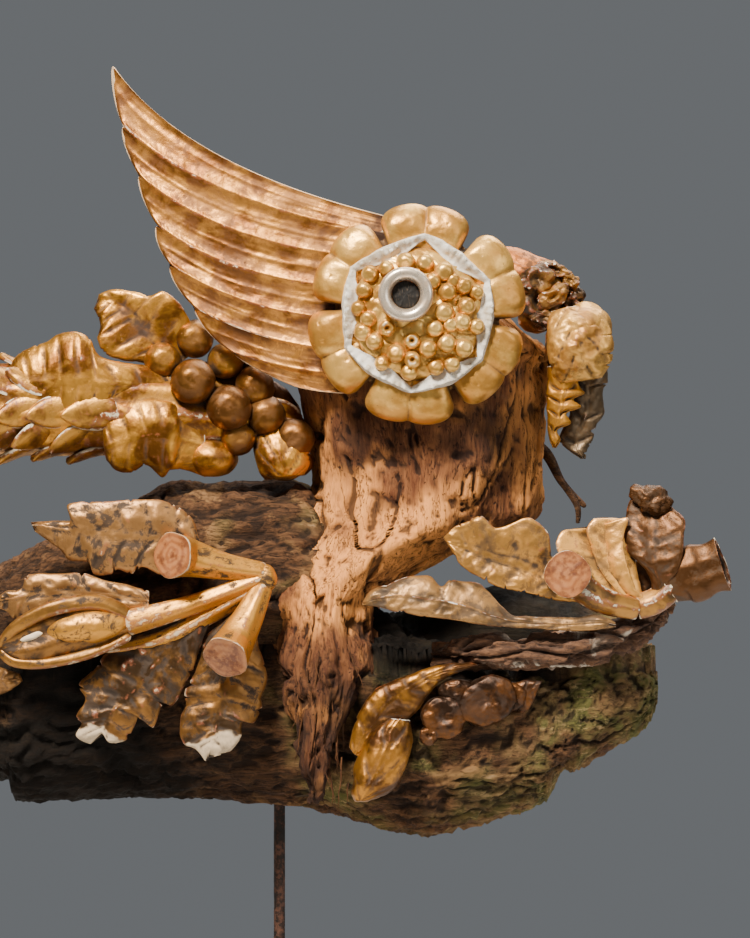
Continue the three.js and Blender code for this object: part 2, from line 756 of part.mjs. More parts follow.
// The broken leaf scroll on the crown of the head.
const crownStrip = [
  [265, 265, 130, 265, 0, -40, 190],
  [200, 470, 40, 425, 30, -210, 290],
  [95, 625, -115, 545, 60, -300, 415],
  [-115, 715, -320, 640, 90, -445, 545],
  [-350, 800, -490, 725, 140, -585, 640],
  [-565, 800, -640, 755, 200, -680, 700],
];

function crownScroll(frame) {
  const shares = (...list) => list.map((share) => share * crownLength);
  const cup = lump(frame.place([-0.08, 0.26, 0]), shares(0.26, 0.3, 0.28), { around: 6, along: 4 });
  const hollow = lump(frame.place([-0.12, 0.3, -0.3]), shares(0.14, 0.2, 0.16), { around: 6, along: 4 });
  const knob = lump(frame.place([0.2, 0.34, 0.02]), shares(0.12, 0.13, 0.13), { around: 5, along: 3 });
  const stalk = lump(frame.place([0.13, 0.13, -0.02]), shares(0.12, 0.16, 0.15), { around: 5, along: 3 });
  const strip = leaf(frame, crownStrip, { thick: leafThickness * 1.6, bend: [0.4, 0.1] });
  return fuse(cup.subtract(hollow), strip, knob, stalk);
}

// The gilded cap and the two hanging leaves that make the snout.
const snoutFront = [
  [-75, -115, 15, -115, -100, 125, -115],
  [-90, -310, 15, -310, -110, 175, -325],
  [-90, -500, 10, -485, -110, 210, -475],
  [-90, -690, 0, -615, -90, 155, -575],
  [-75, -845, 0, -755, -55, 90, -730],
  [0, -910, 25, -860, -20, 60, -830],
];
const snoutSide = [
  [115, -155, 245, -140, 50, 410, -115],
  [140, -385, 260, -370, 60, 385, -345],
  [155, -615, 260, -575, 75, 355, -540],
  [125, -810, 230, -770, 75, 290, -725],
  [140, -940, 190, -925, 70, 240, -845],
  [175, -990, 200, -975, 60, 215, -945],
];

function snoutLeaves(frame) {
  const shares = (...list) => list.map((share) => share * snoutLength);
  return fuse(
    lump(frame.place([0.2, -0.04, 0.02]), shares(0.215, 0.3, 0.26)),
    lump(frame.place([0.03, -0.1, 0]), shares(0.13, 0.22, 0.2)),
    leaf(frame, snoutFront, { thick: leafThickness * 1.3, bend: [0.1, 0.3] }),
    leaf(frame, snoutSide, { thick: leafThickness * 2, bend: [0.1, 0.5] }),
  );
}

// A closed bud with a leaf behind it, on the bark below the mouth.
const budPetals = [
  [-115, -180, -35, -180, -20, 35, -195],
  [-230, -260, -90, -275, -50, 55, -310],
  [-295, -380, -130, -400, -80, 40, -415],
  [-350, -515, -185, -525, -80, -5, -540],
  [-350, -605, -235, -620, -80, -60, -650],
  [-365, -690, -275, -690, -50, -145, -710],
  [-340, -750, -305, -745, -20, -260, -750],
];
const budBlade = [
  [-295, -450, -340, -430, 0, -380, -380],
  [-185, -310, -270, -290, -15, -350, -240],
  [-70, -220, -185, -165, -30, -295, -110],
  [50, -170, -90, -55, -30, -200, 15],
  [130, -70, 20, 15, -20, -75, 75],
  [215, 40, 130, 85, -5, 50, 125],
  [310, 105, 270, 140, 15, 230, 180],
  [515, 180, 505, 185, 40, 450, 200],
];

function budSprig(frame) {
  const bud = leaf(frame, budPetals, { thick: leafThickness * 3, bend: [0.35, 0.35] });
  return fuse(bud, leaf(frame, budBlade, { thick: leafThickness * 1.5, bend: [0.2, 0.2] }));
}

// The brown-gold clover: round lobes and a broken corner.
// Each lobe: right, up, back, half width, half height, turn.
const cloverLobes = [
  [-0.31, -0.09, 0, 0.19, 0.18, 0.4],
  [-0.2, 0.13, 0.02, 0.15, 0.1, 0.1],
  [0.06, 0.05, -0.02, 0.25, 0.2, 0.4],
  [-0.43, -0.24, 0, 0.08, 0.08, 0],
  [0.26, 0.09, 0.03, 0.12, 0.12, 0],
];
const cloverCorner = [
  [235, 175, 250, 125, 20, 250, 25],
  [350, 215, 350, 110, 5, 340, -50],
  [435, 215, 425, 140, 0, 410, -10],
  [510, 210, 485, 175, 0, 465, 110],
];

function clover(frame) {
  const lobes = cloverLobes.map(([right, up, back, wide, high, turn]) => {
    const half = [wide, 0.1, high].map((share) => share * cloverLength);
    return lump(frame.place([right, up, back]), half, { turn, around: 6, along: 4 });
  });
  return fuse(lobes, leaf(frame, cloverCorner));
}

// The end of a leaf on the tail side of the jaw.
const sideBlade = [
  [-675, -215, -675, -130, 100, -675, -45],
  [-435, -250, -415, -65, -5, -390, 110],
  [-110, -195, -110, -10, -30, -130, 175],
  [130, -110, 110, 10, -10, 85, 130],
  [270, 0, 260, 35, 20, 240, 75],
];
const sideLeaf = (frame) => leaf(frame, sideBlade, { thick: leafThickness * 1.3 });

function forkedTwig(frame) {
  const round = twigRadius / twigLength;
  const stemPath = [[-0.35, 0.2, 0.2], [0, 0, 0], [0.2, -0.35, -0.05], [0.46, -0.62, -0.05]];
  const forkPath = [[0.2, -0.35, -0.05], [0.36, -0.6, -0.1], [0.37, -0.8, -0.1]];
  const stem = bar(frame, stemPath, [1.3 * round, 1.5 * round, round, 0.7 * round], { sides: 5, steps: 5 });
  return fuse(stem, bar(frame, forkPath, [0.9 * round, 0.8 * round, 0.5 * round], { sides: 4, steps: 3 }));
}

// An upright round from one height to another, on the rod's axis.
function uprightRound(radius, low, high) {
  const round = new THREE.CylinderGeometry(radius, radius, high - low, 12);
  round.rotateX(Math.PI / 2);
  round.translate(0, 0, (low + high) / 2);
  return solid(round);
}
const rodDrill = (low, high) => uprightRound(rodDiameter / 2 + drillClearance, low, high);

function footPlate() {
  const outline = new THREE.Shape();
  const [halfLength, halfWidth] = [footLength / 2 - footBevel, footWidth / 2 - footBevel];
  outline.moveTo(-halfLength, -halfWidth).lineTo(halfLength, -halfWidth);
  outline.lineTo(halfLength, halfWidth).lineTo(-halfLength, halfWidth).closePath();
  const plate = new THREE.ExtrudeGeometry(outline, {
    depth: footThickness - 2 * footBevel,
    bevelSize: footBevel,
    bevelThickness: footBevel,
    bevelSegments: 1,
  });
  plate.translate(0, 0, footBevel);
  return solid(plate).subtract(rodDrill(footThickness - rodSeatInFoot - drillClearance, footThickness + 1));
}

// The sculpture in its own frame: its origin is where the rod enters the jaw's underside.
const trunkFoot = at(0, jawLength * 0.022);
const headPoint = (...shares) => at(...shares).multiplyScalar(trunkHeight).add(trunkFoot);
const jawPoint = (...shares) => at(...shares).multiplyScalar(jawLength);
const rosetteCentre = headPoint(0.259, 0.892, -0.213);
const eyeOnRosette = at(-0.105 * rosetteRadius, 0.166 * rosetteRadius, -rosetteThickness - berryDomeHeight);
const eyeCentre = eyeOnRosette.add(rosetteCentre);
const sprayOnLedge = jawPoint(0.466, 0.269, -0.125).add(at(0, 0, -0.485 * ledgeThickness));
const lipOnSpray = at(-0.098, -0.084, -0.0545).multiplyScalar(rightSprayLength).add(sprayOnLedge);

const rosetteForm = rosette(rosetteCentre);
const eyeForm = eyeRing(eyeCentre);
const pupilForm = pupil(eyeCentre);
const wingForm = wing(frameOf(headPoint(0.175, 0.91, -0.186), wingLength));
const garlandForm = garland(frameOf(headPoint(0.0593, 0.68, -0.065), garlandLength));
const leftSprayForm = leftSpray(frameOf(jawPoint(-0.013, 0.306, -0.156), leftSprayLength));
const rightSprayForm = rightSpray(frameOf(sprayOnLedge, rightSprayLength));
const lipForm = lipLeaf(frameOf(lipOnSpray, lipLength));
const crownForm = crownScroll(frameOf(headPoint(0.51, 0.869, -0.05), crownLength));
const snoutForm = snoutLeaves(frameOf(headPoint(0.525, 0.866, -0.09), snoutLength));
const budForm = budSprig(frameOf(jawPoint(0.163, 0.157, -0.165), budLength));
const cloverForm = clover(frameOf(jawPoint(0.26, 0.138, -0.162), cloverLength));
const sideLeafForm = sideLeaf(frameOf(jawPoint(-0.358, 0.17, -0.145), sideLeafLength));
const twigForm = forkedTwig(frameOf(headPoint(0.5, 0.64, -0.02), twigLength));
const trunkForm = headTrunk(trunkFoot);

// Each piece gives way to those in front of it or let into it.
const bodies = {
  jaw_log: seat(
    jawLog().subtract(rodDrill(-jawLength, rodSeatInLog)),
    trunkForm,
    garlandForm,
    leftSprayForm,
    rightSprayForm,
    lipForm,
    budForm,
    cloverForm,
    sideLeafForm,
  ),
  head_trunk: seat(
    trunkForm,
    rosetteForm,
    wingForm,
    garlandForm,
    crownForm,
    snoutForm,
    leftSprayForm,
    lipForm,
    budForm,
    twigForm,
  ),
  wing_fin: seat(wingForm, rosetteForm),
  rosette: seat(rosetteForm, eyeForm, pupilForm),
  eye_ring: eyeForm,
  eye_pupil: pupilForm,
  garland: seat(garlandForm, wingForm),
  leaf_spray_left: leftSprayForm,
  leaf_spray_right: seat(rightSprayForm, lipForm),
  lip_leaf: lipForm,
  crown_scroll: seat(crownForm, rosetteForm, snoutForm),
  snout_leaves: snoutForm,
  bud_sprig: budForm,
  clover_lobes: seat(cloverForm, budForm),
  side_leaf: sideLeafForm,
  twig: twigForm,
};
const finishOf = {
  jaw_log: finishes.bark,
  head_trunk: finishes.trunkWood,
  wing_fin: finishes.satinGold,
  rosette: finishes.satinGold,
  eye_ring: finishes.polishedSteel,
  eye_pupil: finishes.pupilBlack,
  garland: finishes.burnishedGold,
  twig: finishes.bark,
};

function meshOf(name, body, { color, roughness, metalness }) {
  const geometry = geometryOf(body).toNonIndexed();
  geometry.computeVertexNormals();
  const material = new THREE.MeshStandardMaterial({ color: new THREE.Color(...color), roughness, metalness });
  const mesh = new THREE.Mesh(geometry, material);
  mesh.name = name;
  return mesh;
}

const seatHeight = footThickness + rodFreeLength;
const sculpture = new THREE.Group();
sculpture.position.z = seatHeight;
for (const [name, body] of Object.entries(bodies)) {
  sculpture.add(meshOf(name, body, finishOf[name] ?? finishes.agedGold));
}

const rodTop = seatHeight + rodSeatInLog - drillClearance;
const rod = uprightRound(rodDiameter / 2, footThickness - rodSeatInFoot, rodTop);
const fish = new THREE.Group();
fish.add(meshOf("foot_plate", footPlate(), finishes.iron));
fish.add(meshOf("rod", rod, finishes.iron));
fish.add(sculpture);

export default fish;
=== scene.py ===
"""Dresses the fish of old gilded carvings: its gilding, bark, rotten wood and their relief."""

import math

import bpy
import numpy as np
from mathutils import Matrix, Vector
from mathutils.bvhtree import BVHTree


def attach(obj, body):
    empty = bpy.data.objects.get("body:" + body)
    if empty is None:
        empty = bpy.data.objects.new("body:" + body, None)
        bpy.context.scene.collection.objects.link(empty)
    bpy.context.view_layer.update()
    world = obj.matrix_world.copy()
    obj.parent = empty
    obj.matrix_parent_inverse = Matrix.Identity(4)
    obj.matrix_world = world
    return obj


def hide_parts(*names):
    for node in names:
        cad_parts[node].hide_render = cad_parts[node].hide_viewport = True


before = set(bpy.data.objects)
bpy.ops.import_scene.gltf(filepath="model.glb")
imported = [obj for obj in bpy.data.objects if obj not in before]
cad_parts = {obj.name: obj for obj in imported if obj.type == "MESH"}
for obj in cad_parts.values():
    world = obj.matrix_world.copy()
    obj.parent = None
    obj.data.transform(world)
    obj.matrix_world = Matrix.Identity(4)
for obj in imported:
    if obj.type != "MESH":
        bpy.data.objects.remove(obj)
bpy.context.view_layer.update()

# Sizes shared with the solids, in millimetres.
SEAT_HEIGHT = 164
JAW_LENGTH = 544
TRUNK_HEIGHT = 376
LEDGE_THICKNESS = 28
MOUTH_DEPTH = 46
WING_LENGTH = 250
WING_ROOT_THICKNESS = 16
WING_TIP_THICKNESS = 9
FEATHERS = 7
FLUTE_DEPTH = 2.6
ROSETTE_RADIUS = 78
ROSETTE_THICKNESS = 20
PETAL_PAIRS = 6
COLLAR_RADIUS = 54.6
COLLAR_WIDTH = 12
COLLAR_HEIGHT = 10
BERRY_DOME_HEIGHT = 14
EYE_RADIUS = 19
EYE_HOLE_RADIUS = 9.6
EYE_THICKNESS = 11
GARLAND_LENGTH = 336
ROPE_RADIUS = 33
GRAPE_RADIUS = 15
STUB_RADIUS = 16
LEAF_THICKNESS = 6
LEFT_SPRAY_LENGTH = 188
RIGHT_SPRAY_LENGTH = 200
LIP_LENGTH = 172
CROWN_LENGTH = 74
SNOUT_LENGTH = 91
BUD_LENGTH = 102
CLOVER_LENGTH = 84
SIDE_LEAF_LENGTH = 64
TWIG_LENGTH = 64
TWIG_RADIUS = 2.6
ROD_RADIUS = 4
ROD_FOOT, ROD_TOP = 5, 223.7
FOOT_HALF_WIDTH = 130
FOOT_HALF_DEPTH = 95
FOOT_THICKNESS = 14


# Places and frames
def at(right, up, back=0.0):
    return np.array([right, back, up], float)


TRUNK_FOOT = at(0, JAW_LENGTH * 0.022)


def head_point(*shares):
    return at(*shares) * TRUNK_HEIGHT + TRUNK_FOOT


def jaw_point(*shares):
    return at(*shares) * JAW_LENGTH


class Place:
    """A carving's own frame: its anchor on the sculpture and the length its shares are of."""

    def __init__(self, anchor, length):
        self.anchor = anchor
        self.length = length

    def spot(self, share):
        return at(*share) * self.length + self.anchor


# Curves and noise
def spline(rows, count):
    """A smooth run of rows through the given rows of numbers."""
    rows = np.asarray(rows, float)
    last = len(rows) - 1
    x = np.linspace(0, last, count)
    i = np.clip(x.astype(int), 0, max(last - 1, 0))
    f = (x - i)[:, None]
    p0, p1 = rows[np.maximum(i - 1, 0)], rows[i]
    p2, p3 = rows[np.minimum(i + 1, last)], rows[np.minimum(i + 2, last)]
    linear = (p2 - p0) * f
    square = (2 * p0 - 5 * p1 + 4 * p2 - p3) * f**2
    return 0.5 * (2 * p1 + linear + square + (3 * p1 - p0 - 3 * p2 + p3) * f**3)


def step(low, high, x):
    """A soft step from 0 at low to 1 at high."""
    t = np.clip((x - low) / (high - low), 0, 1)
    return t * t * (3 - 2 * t)


def squared_off(wave, power):
    """A sine or cosine pushed out towards a box's corners, more with a smaller power."""
    return np.sign(wave) * np.abs(wave) ** power


def round_angles(count):
    """Even angles once round."""
    return np.linspace(0, 2 * np.pi, count, endpoint=False)


def scattered(ix, iy, iz, seed):
    """An even value between 0 and 1 for each cell of a lattice."""
    mask = np.uint64(0xFFFFFFFF)
    h = ix.astype(np.uint64) * np.uint64(374761393)
    h = h + iy.astype(np.uint64) * np.uint64(668265263)
    h = h + iz.astype(np.uint64) * np.uint64(2147483647) + np.uint64(seed * 974711)
    h = (h & mask) ^ ((h & mask) >> np.uint64(13))
    h = (h * np.uint64(1274126177)) & mask
    h = h ^ (h >> np.uint64(16))
    return (h & np.uint64(0xFFFFFF)).astype(float) / 0xFFFFFF


def noise(points, size, seed=1):
    """Smooth noise from -1 to 1. size is the cell, one number or one for each axis."""
    p = np.asarray(points) / np.asarray(size, float) + 4096.5
    cell = np.floor(p)
    f = p - cell
    f = f * f * (3 - 2 * f)
    cell = cell.astype(np.int64)
    total = np.zeros(len(p))
    for dx in (0, 1):
        wx = f[:, 0] if dx else 1 - f[:, 0]
        for dy in (0, 1):
            wy = f[:, 1] if dy else 1 - f[:, 1]
            for dz in (0, 1):
                wz = f[:, 2] if dz else 1 - f[:, 2]
                value = scattered(cell[:, 0] + dx, cell[:, 1] + dy, cell[:, 2] + dz, seed)
                total += wx * wy * wz * value
    return 2 * total - 1


def rough(points, size, seed=1, octaves=4):
    """Noise with finer and finer detail."""
    size = np.asarray(size, float)
    total, weight, share = 0, 0, 1.0
    for i in range(octaves):
        total = total + share * noise(points, size / 2**i, seed + 31 * i)
        weight += share
        share *= 0.5
    return total / weight * 1.5


def cracks(points, size, seed=1):
    """Distance to the seam between cells, 0 on the seam and near 1 inside a cell."""
    p = np.asarray(points) / np.asarray(size, float) + 4096.5
    cell = np.floor(p).astype(np.int64)
    first = np.full(len(p), 9.0)
    second = np.full(len(p), 9.0)
    for dx in (-1, 0, 1):
        for dy in (-1, 0, 1):
            for dz in (-1, 0, 1):
                c = cell + [dx, dy, dz]
                spot = np.stack([scattered(c[:, 0], c[:, 1], c[:, 2], seed + k) for k in (1, 2, 3)], 1)
                d = np.linalg.norm(c + spot - p, axis=1)
                second = np.minimum(second, np.maximum(first, d))
                first = np.minimum(first, d)
    return second - first


# Meshes
class Carving:
    """Closed skins gathered into one mesh, with the marks that its finish reads.

    edge and sunk say where it is rubbed and where dirt and painted shade lie, tint which of its colours
    shows, and bare where it is chipped, or on the logs where shade is painted.
    """

    marks = ("edge", "sunk", "tint", "bare")

    def __init__(self):
        self.points, self.quads, self.tris = [], [], []
        self.kept = {mark: [] for mark in self.marks}
        self.count = 0

    def skin(self, rings, edge=0.0, sunk=0.0, tint=0.0, bare=0.0, loop=False):
        n, m, _ = rings.shape
        points = rings.reshape(-1, 3)
        i = np.arange(n if loop else n - 1)[:, None] * m
        j = np.arange(m)[None, :]
        k = (j + 1) % m
        ahead = (i + m) % (n * m)
        quads = np.stack([i + j, ahead + j, ahead + k, i + k], -1).reshape(-1, 4)
        tris = np.zeros((0, 3), int)
        if not loop:
            points = np.vstack([points, rings[0].mean(0), rings[-1].mean(0)])
            j, k = j[0], k[0]
            end = (n - 1) * m
            tris = np.vstack([
                np.stack([np.full(m, n * m), j, k], -1),
                np.stack([np.full(m, n * m + 1), end + k, end + j], -1),
            ])
        a, b, c, d = (points[quads[:, q]] for q in range(4))
        volume = (np.cross(a, b) * c).sum() + (np.cross(a, c) * d).sum()
        if len(tris):
            volume += (np.cross(points[tris[:, 0]], points[tris[:, 1]]) * points[tris[:, 2]]).sum()
        if volume < 0:
            quads, tris = quads[:, ::-1], tris[:, ::-1]
        self.points.append(points)
        self.quads.append(quads + self.count)
        self.tris.append(tris + self.count)
        self.count += len(points)
        for name, value in zip(self.marks, (edge, sunk, tint, bare)):
            value = np.broadcast_to(np.asarray(value, float), (n, m)).reshape(-1)
            extra = [] if loop else [value[:m].mean(), value[-m:].mean()]
            self.kept[name].append(np.concatenate([value, extra]))

    def object(self, name, lifted=True):
        """The mesh object, in metres, on the sculpture or about the origin."""
        points = np.vstack(self.points)
        faces = np.vstack(self.quads).tolist() + np.vstack(self.tris).tolist()
        mesh = bpy.data.meshes.new(name)
        mesh.from_pydata(((points + [0, 0, SEAT_HEIGHT * lifted]) * 0.001).tolist(), [], faces)
        for mark, values in self.kept.items():
            write(mesh, mark, np.concatenate(values))
        return piece_of(mesh, name)


def write(mesh, mark, values):
    layer = mesh.attributes.get(mark) or mesh.attributes.new(mark, "FLOAT", "POINT")
    layer.data.foreach_set("value", np.asarray(values, np.float32))


def numbers(collection, field, width):
    out = np.zeros(len(collection) * width, np.float32)
    collection.foreach_get(field, out)
    return out.reshape(-1, width) if width > 1 else out


def linked(name, data):
    """A new object in the scene."""
    obj = bpy.data.objects.new(name, data)
    bpy.context.scene.collection.objects.link(obj)
    return obj


def piece_of(mesh, name):
    mesh.polygons.foreach_set("use_smooth", np.ones(len(mesh.polygons), bool))
    mesh.update()
    return linked(name, mesh)


solids = None


def shade_marks(obj, rays=7, reach=0.03, lift=0.004):
    """Marks where the surface is hollow, and where other carvings close it in; the finishes paint shade in
    both, mixed with dirt on the gilding.
    """
    global solids
    mesh = obj.data
    points = numbers(mesh.vertices, "co", 3).astype(float)
    normals = numbers(mesh.vertices, "normal", 3).astype(float)
    edges = np.zeros(len(mesh.edges) * 2, np.int32)
    mesh.edges.foreach_get("vertices", edges)
    a, b = edges[::2], edges[1::2]
    n = len(points)
    near = np.maximum(np.bincount(a, minlength=n) + np.bincount(b, minlength=n), 1)
    smooth = points.copy()
    for _ in range(8):
        total = [
            np.bincount(a, smooth[b, q], minlength=n) + np.bincount(b, smooth[a, q], minlength=n)
            for q in range(3)
        ]
        smooth = 0.5 * smooth + 0.5 * np.stack(total, 1) / near[:, None]
    hollow = ((smooth - points) * normals).sum(1) * 1000
    write(mesh, "hollow", np.clip(hollow, -3, 3))
    # Ambient occlusion by the solids, which the finishes paint as shade
    shut = np.zeros(n)
    if solids is None:
        corners, faces = [], []
        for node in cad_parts.values():
            base = len(corners)
            corners += [v.co.copy() for v in node.data.vertices]
            faces += [[base + i for i in p.vertices] for p in node.data.polygons]
        solids = BVHTree.FromPolygons(corners, faces)
    own = np.random.default_rng(5)
    aims = own.normal(size=(rays, 3))
    aims /= np.linalg.norm(aims, axis=1, keepdims=True)
    for aim in aims:
        ways = normals * 1.05 + aim
        ways /= np.linalg.norm(ways, axis=1, keepdims=True) + 1e-9
        starts = points + normals * lift
        cast = solids.ray_cast
        for i, (start, way) in enumerate(zip(starts.tolist(), ways.tolist())):
            way = Vector(way)
            _, facing, _, far = cast(Vector(start), way, reach)
            if far is not None and facing.dot(way) < 0:
                shut[i] += 1 - far / reach
    shut /= rays
    write(mesh, "shut", shut)


# Forms that several carvings share
def ring_axes(line):
    """Two directions square to a path at each of its points, carried along it without a twist."""
    ahead = np.gradient(line, axis=0)
    ahead /= np.linalg.norm(ahead, axis=1, keepdims=True)
    side = np.cross(ahead[0], at(0, 0, 1) if abs(ahead[0][1]) < 0.9 else at(1, 0))
    sides = []
    for way in ahead:
        side = side - way * side.dot(way)
        side /= np.linalg.norm(side)
        sides.append(side.copy())
    sides = np.array(sides)
    return sides, np.cross(ahead, sides)


def ring_ways(u, v, turn, flat=1.0):
    """The way out from a path at each of its points and each angle, for rings flattened along v."""
    return np.cos(turn)[None, :, None] * u[:, None] + flat * np.sin(turn)[None, :, None] * v[:, None]


def stem(carving, place, path, radii, along=48, around=24, flutes=5, relief=0.5, tint=0.0, sawn=False):
    """A round stem on a path, fluted along its length. A sawn one ends in a flat disc with a worn rim."""
    line = spline([place.spot(p) for p in path], along)
    radius = spline([[r] for r in radii], along)[:, 0] * place.length
    s = np.linspace(0, 1, along)
    blunt = np.clip(s / 0.07, 0, 1) if sawn else np.clip(np.minimum(s, 1 - s) / 0.07, 0, 1)
    radius = radius * np.sqrt(np.clip(1 - (1 - blunt) ** 2, 0.03, 1))
    disc_rings = 9
    if sawn:
        line = np.vstack([line, np.repeat(line[-1:], disc_rings, 0)])
        radius = np.concatenate([radius, radius[-1] * np.linspace(0.97, 0.06, disc_rings)])
        axes = ring_axes(line[:along])
        u = np.vstack([axes[0], np.repeat(axes[0][-1:], disc_rings, 0)])
        v = np.vstack([axes[1], np.repeat(axes[1][-1:], disc_rings, 0)])
    else:
        u, v = ring_axes(line)
    turn = round_angles(around)
    ribs = np.sin(flutes * turn + 0.04 * np.arange(len(line))[:, None])
    wave = 1 + relief / np.maximum(radius[:, None], 1) * ribs
    reach = radius[:, None] * wave
    rings = line[:, None] + reach[..., None] * ring_ways(u, v, turn)
    flat = rings.reshape(-1, 3)
    push = rough(flat, 7, 11, 3)[:, None] * 0.35
    flat = flat + push * at(0, 0, 1)
    edge = np.full(reach.shape, 0.12) + 0.25 * (np.sin(flutes * turn)[None, :] > 0.6)
    mark = np.full(reach.shape, float(tint))
    if sawn:
        across = np.linspace(1, 0, disc_rings)[:, None]
        mark[along:] = 2 + across
        edge[along - 2 : along + 1] = 0.6
    carving.skin(flat.reshape(rings.shape), edge=edge, sunk=0, tint=mark)


def ball(
    carving, centre, half, turn=0.0, around=28, along=20, dent=0.0, tint=0.0, edge=0.0, relief=0.25,
    split=False, bluff=1.0,
):
    """A rounded lump. half is half its width, depth and height, turn is about the line of sight.

    A split one has a hole in front, darkened with painted shade, with a white rim, and a low bluff makes a
    flat-topped cushion.
    """
    down = np.linspace(0.02, np.pi - 0.02, along)
    out = round_angles(around)
    x = np.sin(down)[:, None] * np.cos(out)
    z = np.sin(down)[:, None] * np.sin(out)
    y = (-np.sign(np.cos(down)) * np.abs(np.cos(down)) ** bluff)[:, None] * np.ones_like(out)
    y = y + dent * np.exp(-((down[:, None] / 0.35) ** 2))
    p = np.stack([x * half[0], y * half[1], z * half[2]], -1)
    c, s = math.cos(turn), math.sin(turn)
    p = np.stack([p[..., 0] * c - p[..., 2] * s, p[..., 1], p[..., 0] * s + p[..., 2] * c], -1) + centre
    flat = p.reshape(-1, 3)
    away = flat - centre
    away /= np.linalg.norm(away, axis=1, keepdims=True)
    flat = flat + away * (rough(flat, min(half) * 0.9, 17, 3) * relief)[:, None]
    # The split's hole is darkened with painted shade through the sunk mark.
    hole = step(0.42, 0.25, down)[:, None] * split
    rim = np.exp(-(((down - 0.52) / 0.14) ** 2))[:, None] * split
    rim = rim * step(-0.1, 0.3, rough(flat, 4, 19, 2)).reshape(p.shape[:2])
    carving.skin(flat.reshape(p.shape), edge=edge, sunk=1.6 * hole, tint=tint, bare=rim)


def leaf(
    carving, place, stations, thick=LEAF_THICKNESS, bend=(0.12, 0.12), crease=0.1, along=96, across=34,
    veins=9, vein_depth=0.7, lobe_depth=1.2, chips=0.05, lean=0.5, tint=0.0, seed=3, worn=0.55, stalk=0.35,
    bare_from=2.0, crumple=0.0,
):
    """A carved leaf through its margins and rib, with veins, hollows between its lobes and chipped edges.

    Each station holds, in thousandths of the carving's length, one margin's right and up, the rib's
    right, up and back, and the other margin's right and up.
    """
    rows = spline(stations, along) / 1000 * place.length
    s = np.linspace(0, 1, along)[:, None]
    rib = (np.stack([rows[:, 2], rows[:, 4], rows[:, 3]], -1) + place.anchor)[:, None]
    sides = []
    for right, up in ((0, 1), (5, 6)):
        margin = np.stack([rows[:, right], rows[:, 4], rows[:, up]], -1) + place.anchor
        sides.append(margin[:, None])
    front = np.sin(np.linspace(-np.pi / 2, np.pi / 2, across))
    back = front[1:-1][::-1][::2]
    t = np.concatenate([front, back])[None, :]
    is_front = np.concatenate([np.ones(across), np.zeros(len(back))])[None, :]
    hand = (t > 0).astype(float)[..., None]
    margin = sides[0] * (1 - hand) + sides[1] * hand
    wide = np.linalg.norm(margin - rib, axis=-1)
    share = np.abs(t)
    nicks = np.stack([s * place.length + 0 * t, 37.0 * (t > 0) + 0 * s, 0 * s + 0 * t], -1).reshape(-1, 3)
    chip = np.clip(rough(nicks, 4.5, seed, 3) - 0.25, 0, 1).reshape(wide.shape) * chips * 4
    reach = share * (1 - chip * share**3)
    p = rib + (margin - rib) * reach[..., None]
    full = np.sqrt(np.clip(1 - share**4, 0, 1))
    tip = np.sqrt(np.clip(1 - np.clip((s - 0.93) / 0.07, 0, 1) ** 2, 0.02, 1))
    lift = thick / 2 * full * tip * np.where(is_front > 0, 1, -1)
    narrow = np.minimum(np.linalg.norm(sides[0] - rib, axis=-1), np.linalg.norm(sides[1] - rib, axis=-1))
    groove = crease * narrow * np.clip(1 - share / 0.5, 0, 1) ** 1.2
    padded = [np.pad(column, 9, mode="edge") for column in wide.T]
    smooth_wide = np.stack([np.convolve(column, np.ones(19) / 19, "valid") for column in padded], 1)
    between = np.clip((smooth_wide - wide) / np.maximum(smooth_wide, 1), -0.3, 0.6)
    phase = s * veins - share * lean
    line = (0.5 + 0.5 * np.cos(2 * np.pi * phase)) ** 5
    sweep = np.clip(4 * share * (1 - share), 0, 1)
    middle = np.exp(-((share / 0.07) ** 2))
    dip = (
        vein_depth * line * sweep + lobe_depth * np.clip(between, 0, 1) * 3 * sweep
        - 0.45 * middle * stalk * 2
    )
    dip = dip + 0.5 * np.exp(-(((share - 0.14) / 0.06) ** 2))
    swell = -lobe_depth * np.clip(-between, 0, 1) * 2 * sweep
    p[..., 1] += np.where(t > 0, bend[1], bend[0]) * wide * share**1.25
    p[..., 1] += groove - lift + (dip + swell) * is_front
    flat = p.reshape(-1, 3)
    push = 0.5 * rough(flat, 14, seed + 5, 3) + 0.22 * rough(flat, 3, seed + 9, 2)
    push = push + crumple * rough(flat, 10, seed + 7, 3)
    flat[:, 1] += push * (0.4 + 0.6 * np.broadcast_to(full, wide.shape).reshape(-1))
    flat[:, 0] += 0.35 * rough(flat, 6, seed + 13, 2)
    flat[:, 2] += 0.35 * rough(flat, 6, seed + 17, 2)
    edge = step(0.86, 0.995, share) * worn + 0.3 * middle * is_front + np.clip(chip * 7, 0, 1) * share**4
    edge = np.maximum(edge * np.ones_like(s), step(0.96, 1, s) * worn * np.ones_like(t))
    proud = 0.5 * step(0.3, 0.05, line) * sweep * np.clip(2 - 4 * np.abs(share - 0.5), 0, 1) * 0.5
    edge = np.maximum(edge, proud)
    ragged = 0.05 * rough(flat, 6, seed + 21, 3).reshape(wide.shape)
    bare = step(bare_from, bare_from + 0.03, s + ragged) * is_front
    # Veins and notches darken with dirt and painted shade, and the whole back with painted shade.
    sunk = np.clip(line * sweep + np.clip(between, 0, 1) * 2, 0, 1) * is_front + (1 - is_front)
    carving.skin(flat.reshape(p.shape), edge=np.clip(edge, 0, 1), sunk=sunk, tint=tint, bare=bare)


